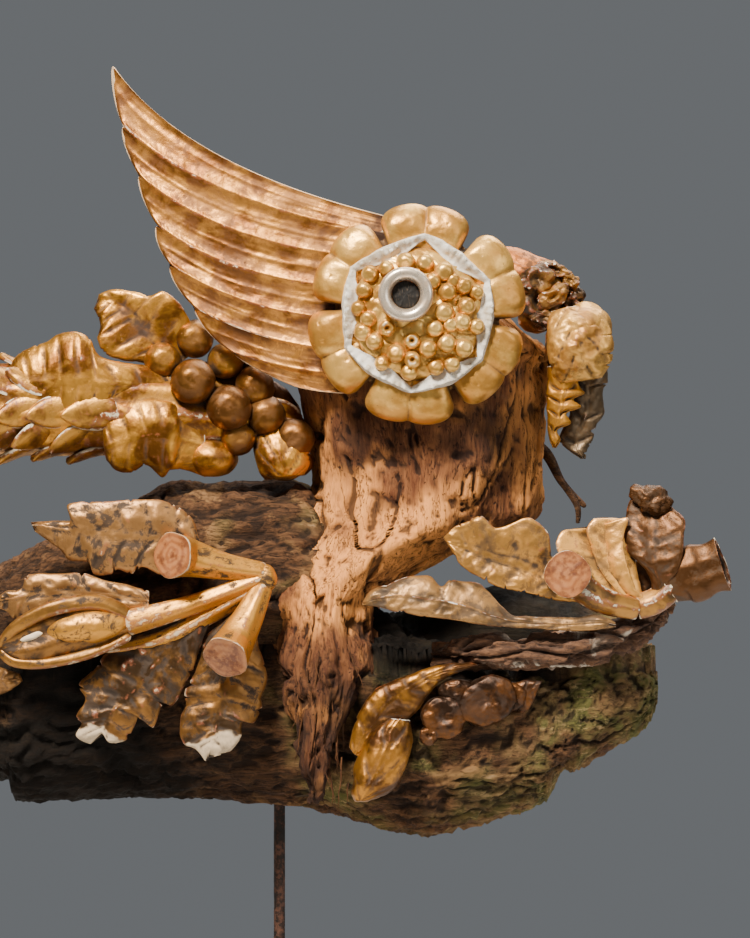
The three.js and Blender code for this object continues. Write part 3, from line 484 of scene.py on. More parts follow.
# Slices through the logs, in thousandths of the trunk's height or the jaw's length.
# Each holds its place up the trunk or along the jaw, then left and right or top and bottom, front, back.
TRUNK_ROWS = [
    [1014, 283, 343, -106, 27],
    [992, 231, 369, -165, 106],
    [944, 205, 398, -186, 146],
    [906, 194, 441, -199, 165],
    [880, 190, 514, -202, 176],
    [806, 41, 512, -202, 176],
    [679, 48, 506, -197, 173],
    [586, 63, 501, -191, 160],
    [512, 37, 480, -191, 146],
    [460, 19, 357, -197, 133],
    [409, -11, 264, -207, 106],
    [363, -19, 197, -218, 74],
    [270, -19, 186, -237, -32],
    [229, -4, 182, -247, -80],
    [195, 4, 156, -253, -106],
    [102, 22, 112, -266, -165],
    [46, 34, 97, -269, -186],
    [-4, 48, 89, -269, -213],
]
JAW_ROWS = [
    [-507, 221, 90, -55, 46],
    [-435, 296, 31, -125, 121],
    [-383, 311, 28, -132, 132],
    [-353, 324, 30, -136, 136],
    [-336, 335, 3, -136, 138],
    [-268, 371, 5, -136, 142],
    [-196, 403, 9, -134, 143],
    [-133, 428, 8, -132, 147],
    [-81, 426, 6, -131, 147],
    [28, 430, -4, -129, 147],
    [67, 376, -14, -132, 145],
    [112, 286, -28, -140, 142],
    [157, 244, -36, -145, 138],
    [196, 226, -40, -149, 134],
    [286, 211, -18, -153, 121],
    [340, 208, 0, -151, 110],
    [371, 211, 31, -147, 101],
    [414, 215, 63, -136, 88],
    [471, 208, 95, -96, 59],
    [492, 180, 129, -62, 15],
]
# Right, up and back of each grape in shares of the garland's length, and its share of the radius
GRAPE_SPOTS = [
    [-0.31, 0.144, -0.04, 0.85],
    [-0.242, 0.19, -0.03, 0.9],
    [-0.244, 0.1, -0.08, 1.06],
    [-0.17, 0.046, -0.07, 1.08],
    [-0.178, 0.145, -0.03, 0.85],
    [-0.115, 0.092, -0.04, 0.95],
    [-0.094, 0.03, -0.04, 0.95],
    [-0.035, -0.02, -0.03, 1],
    [-0.15, -0.02, -0.05, 0.8],
    [-0.121, 0.16, 0.0, 0.8],
    [-0.02, -0.07, 0.0, 0.6],
]
ROPE_PATH = [[-0.02, 0.02, 0.02], [-0.3, 0.04, 0], [-0.62, 0.045, 0], [-0.85, 0.05, 0], [-0.985, 0.07, 0]]
# Stations of the carved leaves, as leaf reads them
VINE_UPTURNED = [
    [-240, 165, -275, 140, -20, -310, 115],
    [-250, 220, -310, 170, -25, -350, 140],
    [-270, 260, -335, 200, -30, -390, 145],
    [-305, 290, -360, 225, -30, -430, 160],
    [-335, 280, -380, 245, -30, -445, 190],
    [-370, 290, -400, 260, -25, -440, 215],
    [-415, 295, -420, 270, -20, -445, 235],
    [-445, 285, -445, 270, -10, -455, 255],
]
VINE_LONG = [
    [-290, 115, -290, 90, -50, -295, 65],
    [-340, 135, -345, 90, -65, -355, 60],
    [-390, 140, -390, 95, -80, -405, 55],
    [-440, 155, -430, 95, -90, -430, 20],
    [-460, 190, -465, 100, -95, -465, 0],
    [-490, 205, -500, 100, -100, -495, -5],
    [-525, 200, -530, 100, -90, -530, 0],
    [-550, 185, -560, 95, -85, -560, 30],
    [-590, 170, -590, 95, -75, -585, 60],
    [-620, 150, -615, 100, -60, -610, 75],
    [-635, 115, -640, 105, -50, -635, 95],
]
VINE_UNDER = [
    [-220, 10, -220, -30, -50, -220, -100],
    [-255, 25, -260, -20, -70, -260, -85],
    [-280, 55, -290, -15, -95, -290, -85],
    [-325, 65, -325, -10, -100, -310, -100],
    [-360, 65, -355, -15, -100, -340, -75],
    [-395, 60, -385, -25, -95, -375, -90],
    [-425, 40, -415, -35, -90, -405, -85],
    [-435, 0, -430, -40, -80, -425, -65],
]
VINE_HANGING = [
    [-125, 30, -73, 40, 0, -21, 45],
    [-121, -10, -67, 0, -40, -8, 0],
    [-118, -50, -64, -45, -60, -2, -42],
    [-108, -85, -58, -80, -60, -2, -75],
    [-95, -106, -54, -102, -45, -12, -95],
]
LEFT_UPPER = [
    [-245, 115, -235, 90, -40, -245, 60],
    [-270, 200, -290, 105, -50, -290, 30],
    [-315, 245, -345, 125, -60, -385, 0],
    [-385, 275, -410, 135, -70, -455, 30],
    [-460, 280, -470, 140, -70, -495, 5],
    [-535, 275, -535, 145, -70, -550, 20],
    [-610, 270, -595, 155, -65, -580, 0],
    [-685, 270, -655, 155, -55, -640, 5],
    [-740, 255, -700, 165, -45, -660, 45],
    [-710, 205, -755, 170, -25, -730, 55],
    [-785, 200, -815, 180, -10, -775, 100],
    [-875, 195, -870, 185, 10, -860, 160],
]
LEFT_MIDDLE = [
    [-435, -60, -435, -95, -45, -435, -135],
    [-515, -35, -515, -85, -40, -515, -140],
    [-595, -20, -595, -75, -40, -595, -140],
    [-670, 5, -680, -65, -35, -680, -140],
    [-775, 5, -770, -65, -30, -770, -150],
    [-885, 0, -850, -65, -20, -850, -165],
    [-905, -50, -920, -80, -10, -925, -170],
    [-965, -60, -970, -90, 0, -965, -135],
    [-1000, -90, -1000, -95, 10, -995, -125],
]
POD = [
    [-485, -140, -485, -170, -60, -485, -210],
    [-545, -110, -550, -170, -85, -560, -250],
    [-625, -95, -635, -175, -100, -645, -285],
    [-720, -95, -730, -185, -105, -740, -305],
    [-815, -125, -820, -215, -100, -820, -330],
    [-895, -160, -895, -245, -90, -890, -330],
    [-955, -200, -955, -265, -70, -935, -305],
    [-995, -255, -985, -270, -40, -970, -290],
]
LEFT_LOWER = [
    [-210, -125, -210, -150, -30, -210, -180],
    [-330, -170, -290, -210, -30, -245, -265],
    [-440, -210, -360, -275, -30, -270, -340],
    [-550, -255, -420, -335, -30, -305, -410],
    [-605, -300, -460, -390, -30, -345, -480],
    [-635, -345, -495, -435, -35, -385, -480],
    [-695, -405, -530, -465, -35, -420, -565],
    [-670, -460, -560, -495, -40, -465, -515],
    [-705, -520, -580, -520, -40, -490, -560],
    [-685, -550, -595, -550, -40, -520, -610],
    [-705, -595, -610, -570, -40, -575, -620],
    [-650, -625, -610, -585, -40, -600, -595],
]
LEFT_BOTTOM = [
    [-80, -95, -50, -105, -30, -20, -110],
    [-155, -165, -85, -170, -35, -35, -190],
    [-230, -230, -110, -245, -35, -30, -265],
    [-245, -300, -125, -320, -40, -5, -340],
    [-270, -365, -140, -375, -40, 0, -395],
    [-305, -435, -155, -435, -45, -20, -450],
    [-300, -480, -165, -480, -45, -20, -490],
    [-320, -530, -175, -515, -50, -45, -545],
    [-320, -600, -185, -550, -50, -90, -545],
    [-300, -630, -195, -590, -55, -95, -595],
    [-265, -640, -205, -620, -55, -130, -645],
    [-225, -685, -215, -665, -60, -195, -670],
]
LEDGE_LOBED = [
    [-195, 110, -195, 55, -30, -195, 5],
    [-245, 150, -265, 75, -40, -275, 10],
    [-310, 165, -325, 90, -50, -335, 20],
    [-330, 250, -380, 115, -55, -385, 35],
    [-395, 300, -435, 135, -60, -435, 45],
    [-455, 280, -485, 150, -60, -485, 55],
    [-510, 265, -525, 165, -60, -525, 70],
    [-560, 305, -570, 180, -60, -570, 95],
    [-610, 285, -605, 195, -50, -605, 115],
    [-650, 270, -640, 205, -45, -640, 145],
    [-690, 230, -680, 220, -40, -665, 190],
]
LEDGE_FAN = [
    [25, 10, 0, -10, -10, -35, -45],
    [-15, 45, -65, 25, -15, -120, -15],
    [-40, 100, -105, 75, -20, -170, 40],
    [-55, 150, -135, 125, -15, -220, 90],
    [-65, 205, -145, 175, -5, -280, 160],
    [-60, 250, -160, 220, 5, -300, 205],
    [-50, 300, -170, 255, 10, -280, 250],
    [-110, 285, -175, 265, 20, -240, 260],
]
LEDGE_TWIST = [
    [110, 10, 75, 0, -10, 35, 5],
    [100, 65, 65, 65, -25, 30, 80],
    [125, 115, 45, 115, -40, 0, 130],
    [140, 180, 35, 175, -35, -50, 180],
    [145, 240, 35, 235, -20, -60, 250],
    [150, 290, 35, 300, 5, -55, 305],
    [110, 335, 35, 345, 25, -40, 355],
    [70, 380, 30, 385, 40, -5, 395],
]
LIP_STATIONS = [
    [5, 25, 5, 15, -20, 5, 5],
    [-65, 55, -60, 25, -20, -60, -5],
    [-150, 45, -150, 20, -25, -150, -10],
    [-255, 45, -255, 20, -30, -255, -5],
    [-355, 50, -355, 25, -30, -355, 0],
    [-415, 55, -425, 35, -30, -425, 5],
    [-480, 120, -500, 55, -35, -505, 10],
    [-545, 180, -580, 85, -40, -595, 25],
    [-610, 190, -640, 100, -40, -660, 35],
    [-660, 195, -680, 110, -40, -700, 40],
    [-700, 170, -710, 115, -40, -735, 45],
    [-745, 210, -765, 120, -40, -785, 50],
    [-820, 210, -835, 135, -40, -850, 65],
    [-870, 195, -875, 135, -35, -885, 70],
    [-915, 175, -915, 130, -30, -925, 80],
    [-970, 160, -970, 120, -25, -975, 90],
    [-1015, 110, -1015, 105, -20, -1015, 95],
]
CROWN_STRIP = [
    [265, 265, 130, 265, 0, -40, 190],
    [200, 470, 40, 425, 30, -210, 290],
    [95, 625, -115, 545, 60, -300, 415],
    [-115, 715, -320, 640, 90, -445, 545],
    [-350, 800, -490, 725, 140, -585, 640],
    [-565, 800, -640, 755, 200, -680, 700],
]
FAN_SIDE = [
    [-42, -18, -10, -18, -20, 18, -18],
    [-98, 45, -45, 45, -15, 0, 45],
    [-147, 115, -80, 115, -10, -14, 115],
    [-175, 185, -100, 185, -5, -28, 185],
    [-192, 255, -110, 255, 0, -35, 255],
    [-168, 297, -105, 300, 5, -49, 292],
]
SNOUT_JAGGED = [
    [-92, -279, 30, -279, -110, 138, -279],
    [-92, -425, 30, -425, -115, 154, -425],
    [-100, -487, 30, -480, -115, 200, -487],
    [-92, -533, 20, -533, -110, 115, -533],
    [-100, -595, 15, -590, -105, 170, -595],
    [-92, -640, 0, -640, -100, 60, -640],
    [-90, -718, -5, -710, -90, 95, -718],
    [-85, -770, -40, -770, -80, -10, -770],
    [-70, -850, -30, -850, -60, 15, -850],
    [-50, -910, -35, -910, -40, -20, -910],
]
SNOUT_HANGING = [
    [77, -279, 230, -279, 20, 377, -279],
    [90, -400, 225, -400, 30, 385, -400],
    [80, -464, 220, -464, 40, 345, -464],
    [90, -633, 215, -633, 50, 360, -633],
    [46, -733, 180, -733, 55, 300, -733],
    [8, -848, 140, -848, 60, 270, -848],
    [77, -925, 150, -925, 60, 225, -925],
    [170, -995, 190, -995, 60, 210, -995],
]
SNOUT_CAP = [
    [-60, 150, 60, 180, -120, 180, 190],
    [-90, 60, 90, 100, -230, 330, 110],
    [-95, -60, 110, -20, -290, 400, 0],
    [-90, -190, 130, -150, -300, 420, -130],
    [-60, -330, 130, -290, -250, 400, -260],
    [-20, -420, 120, -400, -150, 330, -370],
]
BUD_PETALS = [
    [-115, -180, -35, -180, -20, 35, -195],
    [-230, -260, -90, -275, -50, 55, -310],
    [-295, -380, -130, -400, -80, 40, -415],
    [-350, -515, -185, -525, -80, -5, -540],
    [-350, -605, -235, -620, -80, -60, -650],
    [-365, -690, -275, -690, -50, -145, -710],
    [-340, -750, -305, -745, -20, -260, -750],
]
BUD_BLADE = [
    [-295, -450, -340, -430, 0, -380, -380],
    [-185, -310, -270, -290, -15, -350, -240],
    [-70, -220, -185, -165, -30, -295, -110],
    [50, -170, -90, -55, -30, -200, 15],
    [130, -70, 20, 15, -20, -75, 75],
    [215, 40, 130, 85, -5, 50, 125],
    [310, 105, 270, 140, 15, 230, 180],
    [515, 180, 505, 185, 40, 450, 200],
]
CLOVER_CORNER = [
    [235, 175, 250, 125, 20, 250, 25],
    [350, 215, 350, 110, 5, 340, -50],
    [435, 215, 425, 140, 0, 410, -10],
    [510, 210, 485, 175, 0, 465, 110],
]
SIDE_BLADE = [
    [-675, -215, -675, -130, 100, -675, -45],
    [-435, -250, -415, -65, -5, -390, 110],
    [-110, -195, -110, -10, -30, -130, 175],
    [130, -110, 110, 10, -10, 85, 130],
    [270, 0, 260, 35, 20, 240, 75],
]


# The logs
# Patches on the trunk, in millimetres: right and up, half width and half height, and how strong
TRUNK_PALE = [
    [66, 188, 34, 44, 1], [24, 230, 15, 70, 1], [176, 262, 20, 60, 1],
    [168, 330, 26, 22, 1], [110, 200, 30, 26, 1], [34, 164, 26, 26, 1],
]
# Painted shadows on the trunk, the largest under the rosette.
TRUNK_PAINTED_SHADOW = [[146, 262, 42, 34, 0.55], [52, 268, 26, 34, 0.4], [82, 252, 30, 20, 0.3]]


def patches(flat, spots):
    """Soft round patches, added up."""
    x, h = flat[:, 0], flat[:, 2]
    return sum(
        amount * np.exp(-(((x - right) / wide) ** 2) - (((h - up) / high) ** 2))
        for right, up, wide, high, amount in spots
    )


def head_trunk():
    """Rotten trunk: vertical splits, worm-eaten hollows and a stringy tail."""
    carving = Carving()
    along, around = 210, 260
    rows = spline(TRUNK_ROWS, along) / 1000
    up, left, right, front, back = (rows[:, q][:, None] for q in range(5))
    i = np.linspace(0, len(TRUNK_ROWS) - 1, along)[:, None]
    w = np.linspace(0, 1, around, endpoint=False)
    turn = 2 * np.pi * (w + 0.06 * np.sin(2 * np.pi * w))[None, :] + np.pi
    across, deep = np.cos(turn), np.sin(turn)
    split = 0.07 * deep**2 * np.sin(5 * turn + 0.25 * i)
    craggy = 1 + split + 0.02 * np.sin(9 * turn + 1.7 * i)
    x = (left + right) / 2 + (right - left) / 2 * across * craggy
    y = (front + back) / 2 + (back - front) / 2 * deep * craggy
    p = np.stack([x, y, up + 0 * x], -1) * TRUNK_HEIGHT + TRUNK_FOOT
    flat = p.reshape(-1, 3)
    outward = np.stack([across + 0 * i, deep + 0 * i, 0 * i + 0 * turn], -1).reshape(-1, 3)
    bent = flat + np.stack([rough(flat, 40, 71, 2) * 5, rough(flat, 40, 72, 2) * 5, 0 * flat[:, 0]], 1)
    strands = rough(bent, (4.2, 4.2, 46), 41, 4)
    long_split = step(0.93, 0.99, 1 - np.abs(rough(bent, (26, 26, 190), 43, 2)))
    pits = step(0.15, 0.7, rough(bent, (12, 12, 17), 47, 4))
    worm = step(0.4, 0.8, rough(bent, (3.6, 3.6, 5), 53, 2))
    slabs = rough(bent, (34, 34, 60), 59, 3)
    chips = np.floor(3 * (0.5 + 0.5 * rough(bent, (15, 15, 34), 60, 2))) / 3
    low = step(190, 120, flat[:, 2])
    carve = (
        1.3 * np.clip(-strands, -0.6, 1) + 4.2 * long_split + 3.4 * pits + 1.1 * worm
        + 4.2 * np.clip(slabs, 0, 1)
    )
    carve = carve + 2.6 * chips + low * (5.5 * np.clip(-rough(bent, (8, 8, 44), 61, 3), 0, 1) + 2.5 * pits)
    flat = flat - outward * np.clip(carve, -0.8, 11)[:, None]
    top = step(0.985, 1.0, (flat[:, 2] - TRUNK_FOOT[2]) / (1.014 * TRUNK_HEIGHT))
    flat[:, 2] -= top * 6 * np.clip(rough(flat, 14, 67, 3), 0, 1)
    corner = np.clip((flat[:, 0] - 150) / 44, 0, 1) * np.clip((flat[:, 2] - 296) / 52, 0, 1)
    flat[:, 2] -= corner * (24 + 9 * rough(flat, 12, 68, 3))
    flat[:, 1] += corner * np.clip(-flat[:, 1] / 60, 0, 1) * (10 + 7 * rough(flat, 9, 70, 3))
    flat[:, 2] += low * step(60, 15, flat[:, 2]) * rough(flat, (5, 5, 400), 69, 2) * 9
    pale = 0.75 * patches(flat, TRUNK_PALE)
    fresh = step(0.05, 0.75, 0.75 * rough(flat, (18, 18, 30), 73, 4) + pale)
    # Painted shade, handed on by the bare mark: darker towards the tail and in the painted shadows.
    shade = 0.8 * step(150, 60, flat[:, 2]) + patches(flat, TRUNK_PAINTED_SHADOW)
    shade = np.clip(shade * (1 + 0.8 * rough(flat, (16, 16, 30), 75, 3)), 0, 0.85)
    shape = x.shape
    carving.skin(
        flat.reshape(p.shape), edge=np.clip(strands, 0, 1).reshape(shape),
        sunk=np.clip(long_split + pits + worm, 0, 1).reshape(shape), tint=fresh.reshape(shape),
        bare=shade.reshape(shape),
    )
    splinters(carving, "trunk")
    return carving.object("rotten_trunk")


def jaw_log():
    """The long log: bark in plates at the tail, moss at the snout and the mouth hollowed out of it."""
    carving = Carving()
    along, around = 250, 260
    rows = spline(JAW_ROWS, along) / 1000
    right, top, bottom, front, back = (rows[:, q][:, None] for q in range(5))
    i = np.linspace(0, len(JAW_ROWS) - 1, along)[:, None]
    w = np.linspace(0, 1, around, endpoint=False)
    turn = 2 * np.pi * w[None, :] + 0.35 * np.sin(2 * np.pi * w)[None, :] + np.pi
    craggy = 1 + 0.04 * np.sin(3 * turn + 0.9 * i) * np.abs(np.cos(turn))
    y = (front + back) / 2 + (back - front) / 2 * squared_off(np.cos(turn), 0.7) * craggy
    z = (top + bottom) / 2 + (top - bottom) / 2 * squared_off(np.sin(turn), 0.7)
    p = np.stack([right + 0 * y, y, z], -1) * JAW_LENGTH
    flat = p.reshape(-1, 3)
    outward = np.stack([0 * y, np.cos(turn) + 0 * y, np.sin(turn) + 0 * y], -1).reshape(-1, 3)
    centre = jaw_point(0.22, 0.266, -0.14)
    half = np.array([0.15 * JAW_LENGTH, MOUTH_DEPTH, 0.072 * JAW_LENGTH])
    far = jaw_point(0.3, 0.2206, 0.055)
    far_half = np.array([0.188, 0.096, 0.0735]) * JAW_LENGTH
    off = (flat - far) / far_half
    lens = np.clip(1 - off[:, 0] ** 2 - off[:, 1] ** 2, 0, 1)
    upper = flat[:, 2] > far[2] - 20
    flat[:, 2] = np.where(upper, np.maximum(flat[:, 2], far[2] + far_half[2] * np.sqrt(lens) - 3), flat[:, 2])
    rel = (flat - centre) / half
    spread = rel[:, 0] ** 2 + rel[:, 2] ** 2
    floor_y = centre[1] + half[1] * np.sqrt(np.clip(1 - spread, 0, 1))
    in_mouth = (spread < 1) & (flat[:, 1] < 0) & (flat[:, 1] < floor_y)
    flat[:, 1] = np.where(in_mouth, floor_y, flat[:, 1])
    bent = flat + np.stack([rough(flat, 40, q, 3) * 14 for q in (81, 82, 83)], 1)
    seam = step(0.82, 0.99, 1 - np.abs(rough(bent, (95, 24, 24), 85, 3)))
    fibres = rough(bent, (42, 5, 5), 87, 4)
    hollows = step(0.1, 0.75, rough(bent, (34, 20, 20), 89, 4))
    layers = np.floor(5 * (0.5 + 0.5 * rough(bent, (44, 16, 16), 90, 3))) / 5
    crumbs = rough(flat, 4.0, 91, 3)
    scab = np.abs(rough(flat, 9, 92, 3))
    snout_side = step(60, 170, flat[:, 0])
    carve = (
        3.4 * seam + 1.6 * np.clip(-fibres, -0.4, 1) * (1 - 0.6 * snout_side) + 6.0 * hollows
        + 5.5 * layers
    )
    carve = carve + (1.9 + 1.2 * snout_side) * np.clip(crumbs, -0.8, 1) - 1.8 * np.clip(scab, 0, 0.8) + 1.2
    carve = carve + 9 * np.exp(-(((flat[:, 0] - 200) / 7) ** 2) - (((flat[:, 2] - 14) / 16) ** 2))
    flat = flat - outward * np.clip(carve, 0, 15)[:, None]
    ends = step(-235, -272, flat[:, 0])
    flat[:, 0] += ends * 12 * rough(flat, (300, 7, 7), 93, 3)
    moss = step(
        -0.15, 0.5,
        rough(flat, 30, 95, 3) + 0.55 * step(40, 220, flat[:, 0]) - 0.45 * step(60, -40, flat[:, 0]),
    )
    moss = moss * (1 - in_mouth) * step(-90, 40, flat[:, 0])
    x, h = flat[:, 0], flat[:, 2]
    # Painted shade, handed on by the bare mark: behind and below the left spray, along the top under the lip
    # leaf and the ledge, and in the mouth.
    log_painted_shade = 0.9 * step(-55, -120, x) * step(150, 100, h) + 0.6 * step(15, -60, x) * step(75, 35, h)
    log_painted_shade = log_painted_shade + 0.9 * step(55, 75, x) * step(215, 160, x) * step(84, 96, h) + 0.8 * in_mouth
    log_painted_shade = log_painted_shade + 0.8 * step(50, 70, x) * step(240, 210, x) * step(112, 122, h)
    log_painted_shade = np.clip(log_painted_shade + 0.35 * rough(flat, 26, 96, 3) * (log_painted_shade > 0.05), 0, 0.95)
    shape = y.shape
    carving.skin(
        flat.reshape(p.shape), edge=np.clip(fibres, 0, 1).reshape(shape),
        sunk=np.clip(seam + hollows + in_mouth, 0, 1).reshape(shape), tint=moss.reshape(shape),
        bare=log_painted_shade.reshape(shape),
    )
    splinters(carving, "jaw")
    return carving.object("barked_log")


def ledge():
    """The broken branch along the top of the jaw: dark splintered chunks with a few pale spots."""
    carving = Carving()
    along, around = 240, 140
    path = [
        [0.2, 0.2, -0.12], [0.285, 0.207, -0.155], [0.39, 0.212, -0.15], [0.466, 0.238, -0.125],
        [0.504, 0.276, -0.09],
    ]
    line = spline([jaw_point(*p) for p in path], along)
    radius = spline([[r] for r in (0.7, 1, 1, 0.9, 0.5)], along)[:, 0] * LEDGE_THICKNESS / 2
    u, v = ring_axes(line)
    turn = round_angles(around)
    out = ring_ways(u, v, turn)
    p = line[:, None] + radius[:, None, None] * out
    flat, out = p.reshape(-1, 3), out.reshape(-1, 3)
    fibres = rough(flat, (30, 3, 3), 101, 4)
    broken = step(0.05, 0.6, rough(flat, (20, 11, 11), 103, 3))
    chunks = cracks(flat, (56, 19, 19), 104)
    slabs = rough(flat, (44, 8, 8), 105, 2)
    carve = (
        1.7 * np.clip(-fibres, -0.5, 1) + 5.0 * broken + 4.5 * step(0.2, 0.0, chunks)
        + 3.0 * np.clip(slabs, 0, 1)
    )
    carve = carve + 1.2 * rough(flat, 3.5, 106, 2)
    flat = flat - out * np.clip(carve, -0.5, 10)[:, None]
    pale = step(0.35, 0.75, rough(flat, (26, 10, 10), 107, 3)) + np.exp(-(((flat[:, 0] - 205) / 16) ** 2))
    shape = p.shape[:2]
    carving.skin(
        flat.reshape(p.shape), edge=np.clip(fibres, 0, 1).reshape(shape),
        sunk=np.clip(broken + step(0.2, 0.0, chunks), 0, 1).reshape(shape),
        tint=np.clip(pale, 0, 1).reshape(shape),
    )
    return carving.object("broken_ledge")


def splinters(carving, where):
    """Loose fibres that stand off the wood: on the trunk's tail and along the jaw's underside."""
    own = np.random.default_rng(19 if where == "trunk" else 23)
    for _ in range(26 if where == "trunk" else 12):
        if where == "trunk":
            start = at(own.uniform(12, 52), own.uniform(20, 120), own.uniform(-99, -84))
            way = at(own.normal(0, 0.18), -1, own.normal(0, 0.06))
            long = own.uniform(14, 40)
        else:
            start = at(own.uniform(-60, 190), own.uniform(6, 18), own.uniform(-66, -50))
            way = at(own.choice([-1, 1]), own.normal(0, 0.2), own.normal(0, 0.1))
            long = own.uniform(9, 26)
        path = np.array(
            [start + way * long * k + at(*own.normal(0, 0.8, 3)) * k for k in np.linspace(0, 1, 7)]
        )
        radius = own.uniform(0.35, 0.9) * np.array([0.8, 1, 0.95, 0.8, 0.6, 0.4, 0.15])
        u, v = ring_axes(path)
        turn = round_angles(5)
        rings = path[:, None] + radius[:, None, None] * ring_ways(u, v, turn)
        # The bare mark darkens them with the logs' painted shade.
        carving.skin(rings, edge=0.9, sunk=0, tint=0.2, bare=0.7)


# The gilded carvings
WING_ROOT = [[0.056, 0.246, 0], [-0.056, -0.246, 0]]
WING_BEND = [
    [-0.524, 0.387, 0.03], [-0.437, 0.185, 0.02], [-0.359, 0.003, 0.02], [-0.28, -0.137, 0.02],
    [-0.132, -0.246, 0.02],
]
WING_TIPS = [
    [-0.723, 0.672, 0.1],
    [-0.695, 0.504, 0.09],
    [-0.65, 0.364, 0.08],
    [-0.599, 0.224, 0.07],
    [-0.56, 0.112, 0.06],
    [-0.493, -0.006, 0.05],
    [-0.381, -0.134, 0.04],
    [-0.202, -0.23, 0.02],
]


def wing():
    """The back fin: hollow-ground feathers with raised, rubbed edges, rounded at their tips."""
    carving = Carving()
    place = Place(head_point(0.175, 0.91, -0.186), WING_LENGTH)
    samples = FEATHERS * 24
    stations = 128
    t_front = np.linspace(0, 1, samples + 1)
    root, bend, tips = (
        spline([place.spot(p) for p in rows], samples + 1) for rows in (WING_ROOT, WING_BEND, WING_TIPS)
    )
    outward = tips - bend
    outward /= np.linalg.norm(outward, axis=1, keepdims=True)
    feather = np.abs(np.sin(np.pi * FEATHERS * t_front))
    tips = tips + outward * (0.03 * WING_LENGTH * feather**0.55)[:, None]
    order = np.concatenate([np.arange(samples + 1), np.arange(samples - 3, 2, -3)])
    is_front = np.concatenate([np.ones(samples + 1), np.zeros(len(order) - samples - 1)])
    tip_stations = 12
    near_tips = 0.97 + 0.03 * np.sin(np.linspace(0.1, 1, tip_stations) * np.pi / 2)
    s = np.concatenate([np.linspace(0, 0.97, stations - tip_stations), near_tips])
    t = t_front[order]
    bez = [(1 - s) ** 2, 2 * s * (1 - s), s**2]
    p = sum(b[:, None, None] * line[order][None] for b, line in zip(bez, (root, bend, tips)))
    thick = WING_ROOT_THICKNESS + (WING_TIP_THICKNESS - WING_ROOT_THICKNESS) * s
    thick = thick * np.sqrt(np.clip(1 - np.clip((s - 0.96) / 0.04, 0, 1) ** 2, 0.01, 1))
    swell = np.sin(np.pi * (0.04 + 0.92 * t)) ** 0.5
    f = (FEATHERS * t) % 1
    ridge = np.minimum(f, 1 - f)
    flute = FLUTE_DEPTH * (1 - np.exp(-((ridge / 0.16) ** 1.4)))
    S, T = s[:, None] + 0 * t[None], t[None] + 0 * s[:, None]
    length_mm = S * WING_LENGTH
    shaft = np.exp(-(((f - 0.5) / 0.05) ** 2))
    barbs = np.sin(2 * np.pi * (length_mm / 6.5 - 3.0 * np.abs(f - 0.5)[None]))
    second = step(0.24, 0.27, S) * 0.9
    face = thick[:, None] / 2 * swell - flute * (0.55 + 0.6 * S) + 0.35 * shaft
    face = face - 0.05 * barbs * (ridge > 0.08) * second + 1.6 * (f - 0.5) * (0.4 + 0.6 * S)
    lift = np.where(is_front > 0, face, -thick[:, None] / 2)
    flat = p.reshape(-1, 3)
    long_way = np.stack([(T * FEATHERS * 30).reshape(-1), 0 * flat[:, 0], length_mm.reshape(-1)], 1)
    lift = lift.reshape(-1) - 1.0 * rough(flat, (38, 30, 38), 121, 3) - 0.25 * rough(flat, 5, 123, 3)
    lift = lift + 0.75 * rough(long_way, (7, 7, 90), 127, 3) * np.tile(is_front, len(s))
    nicks = step(0.45, 0.8, rough(flat, 9, 125, 3)) * np.tile(np.exp(-((ridge / 0.06) ** 2)), len(s))
    flat[:, 1] -= lift - 0.9 * nicks
    edge = 0.75 * np.exp(-((ridge / 0.07) ** 2)) * is_front + 0.3 * step(0.97, 1, S)
    edge = np.maximum(edge, 0.1 * (step(0.99, 1, T) + step(0.01, 0, T)))
    # Dirt in the flutes, and painted shadow at the root beside the rosette.
    sunk = np.clip((1 - np.exp(-((ridge / 0.2) ** 2))) * 0.35 + step(0.25, 0.0, S), 0, 1) * is_front
    carving.skin(flat.reshape(p.shape), edge=np.clip(edge, 0, 1), sunk=sunk, tint=0)
    return carving.object("wing_feathers")


FIRST_FOLD = math.radians(-95)
FOLD_ANGLE = 2 * math.pi / PETAL_PAIRS
ROSETTE_CENTRE = head_point(0.259, 0.892, -0.213)


def on_rosette(turn, reach, lift):
    turn, reach, lift = np.broadcast_arrays(turn, reach, lift)
    return np.stack([np.cos(turn) * reach, -lift, np.sin(turn) * reach], -1) + ROSETTE_CENTRE


def petal_edge(turn):
    """How far the ring of petals reaches at an angle: a round lobe to each side of every pair's middle."""
    away = (turn - FIRST_FOLD + FOLD_ANGLE / 2) % FOLD_ANGLE - FOLD_ANGLE / 2
    lobe = np.abs(away) - 0.19 * FOLD_ANGLE
    reach, radius = 0.77 * ROSETTE_RADIUS, 0.215 * ROSETTE_RADIUS
    inside = np.clip(1 - (np.abs(reach * np.sin(lobe)) / radius) ** 3.6, 0, None)
    return reach * np.cos(lobe) + radius * inside ** (1 / 3.6) * (1 - 0.03 * np.sin(7.3 * turn)), away


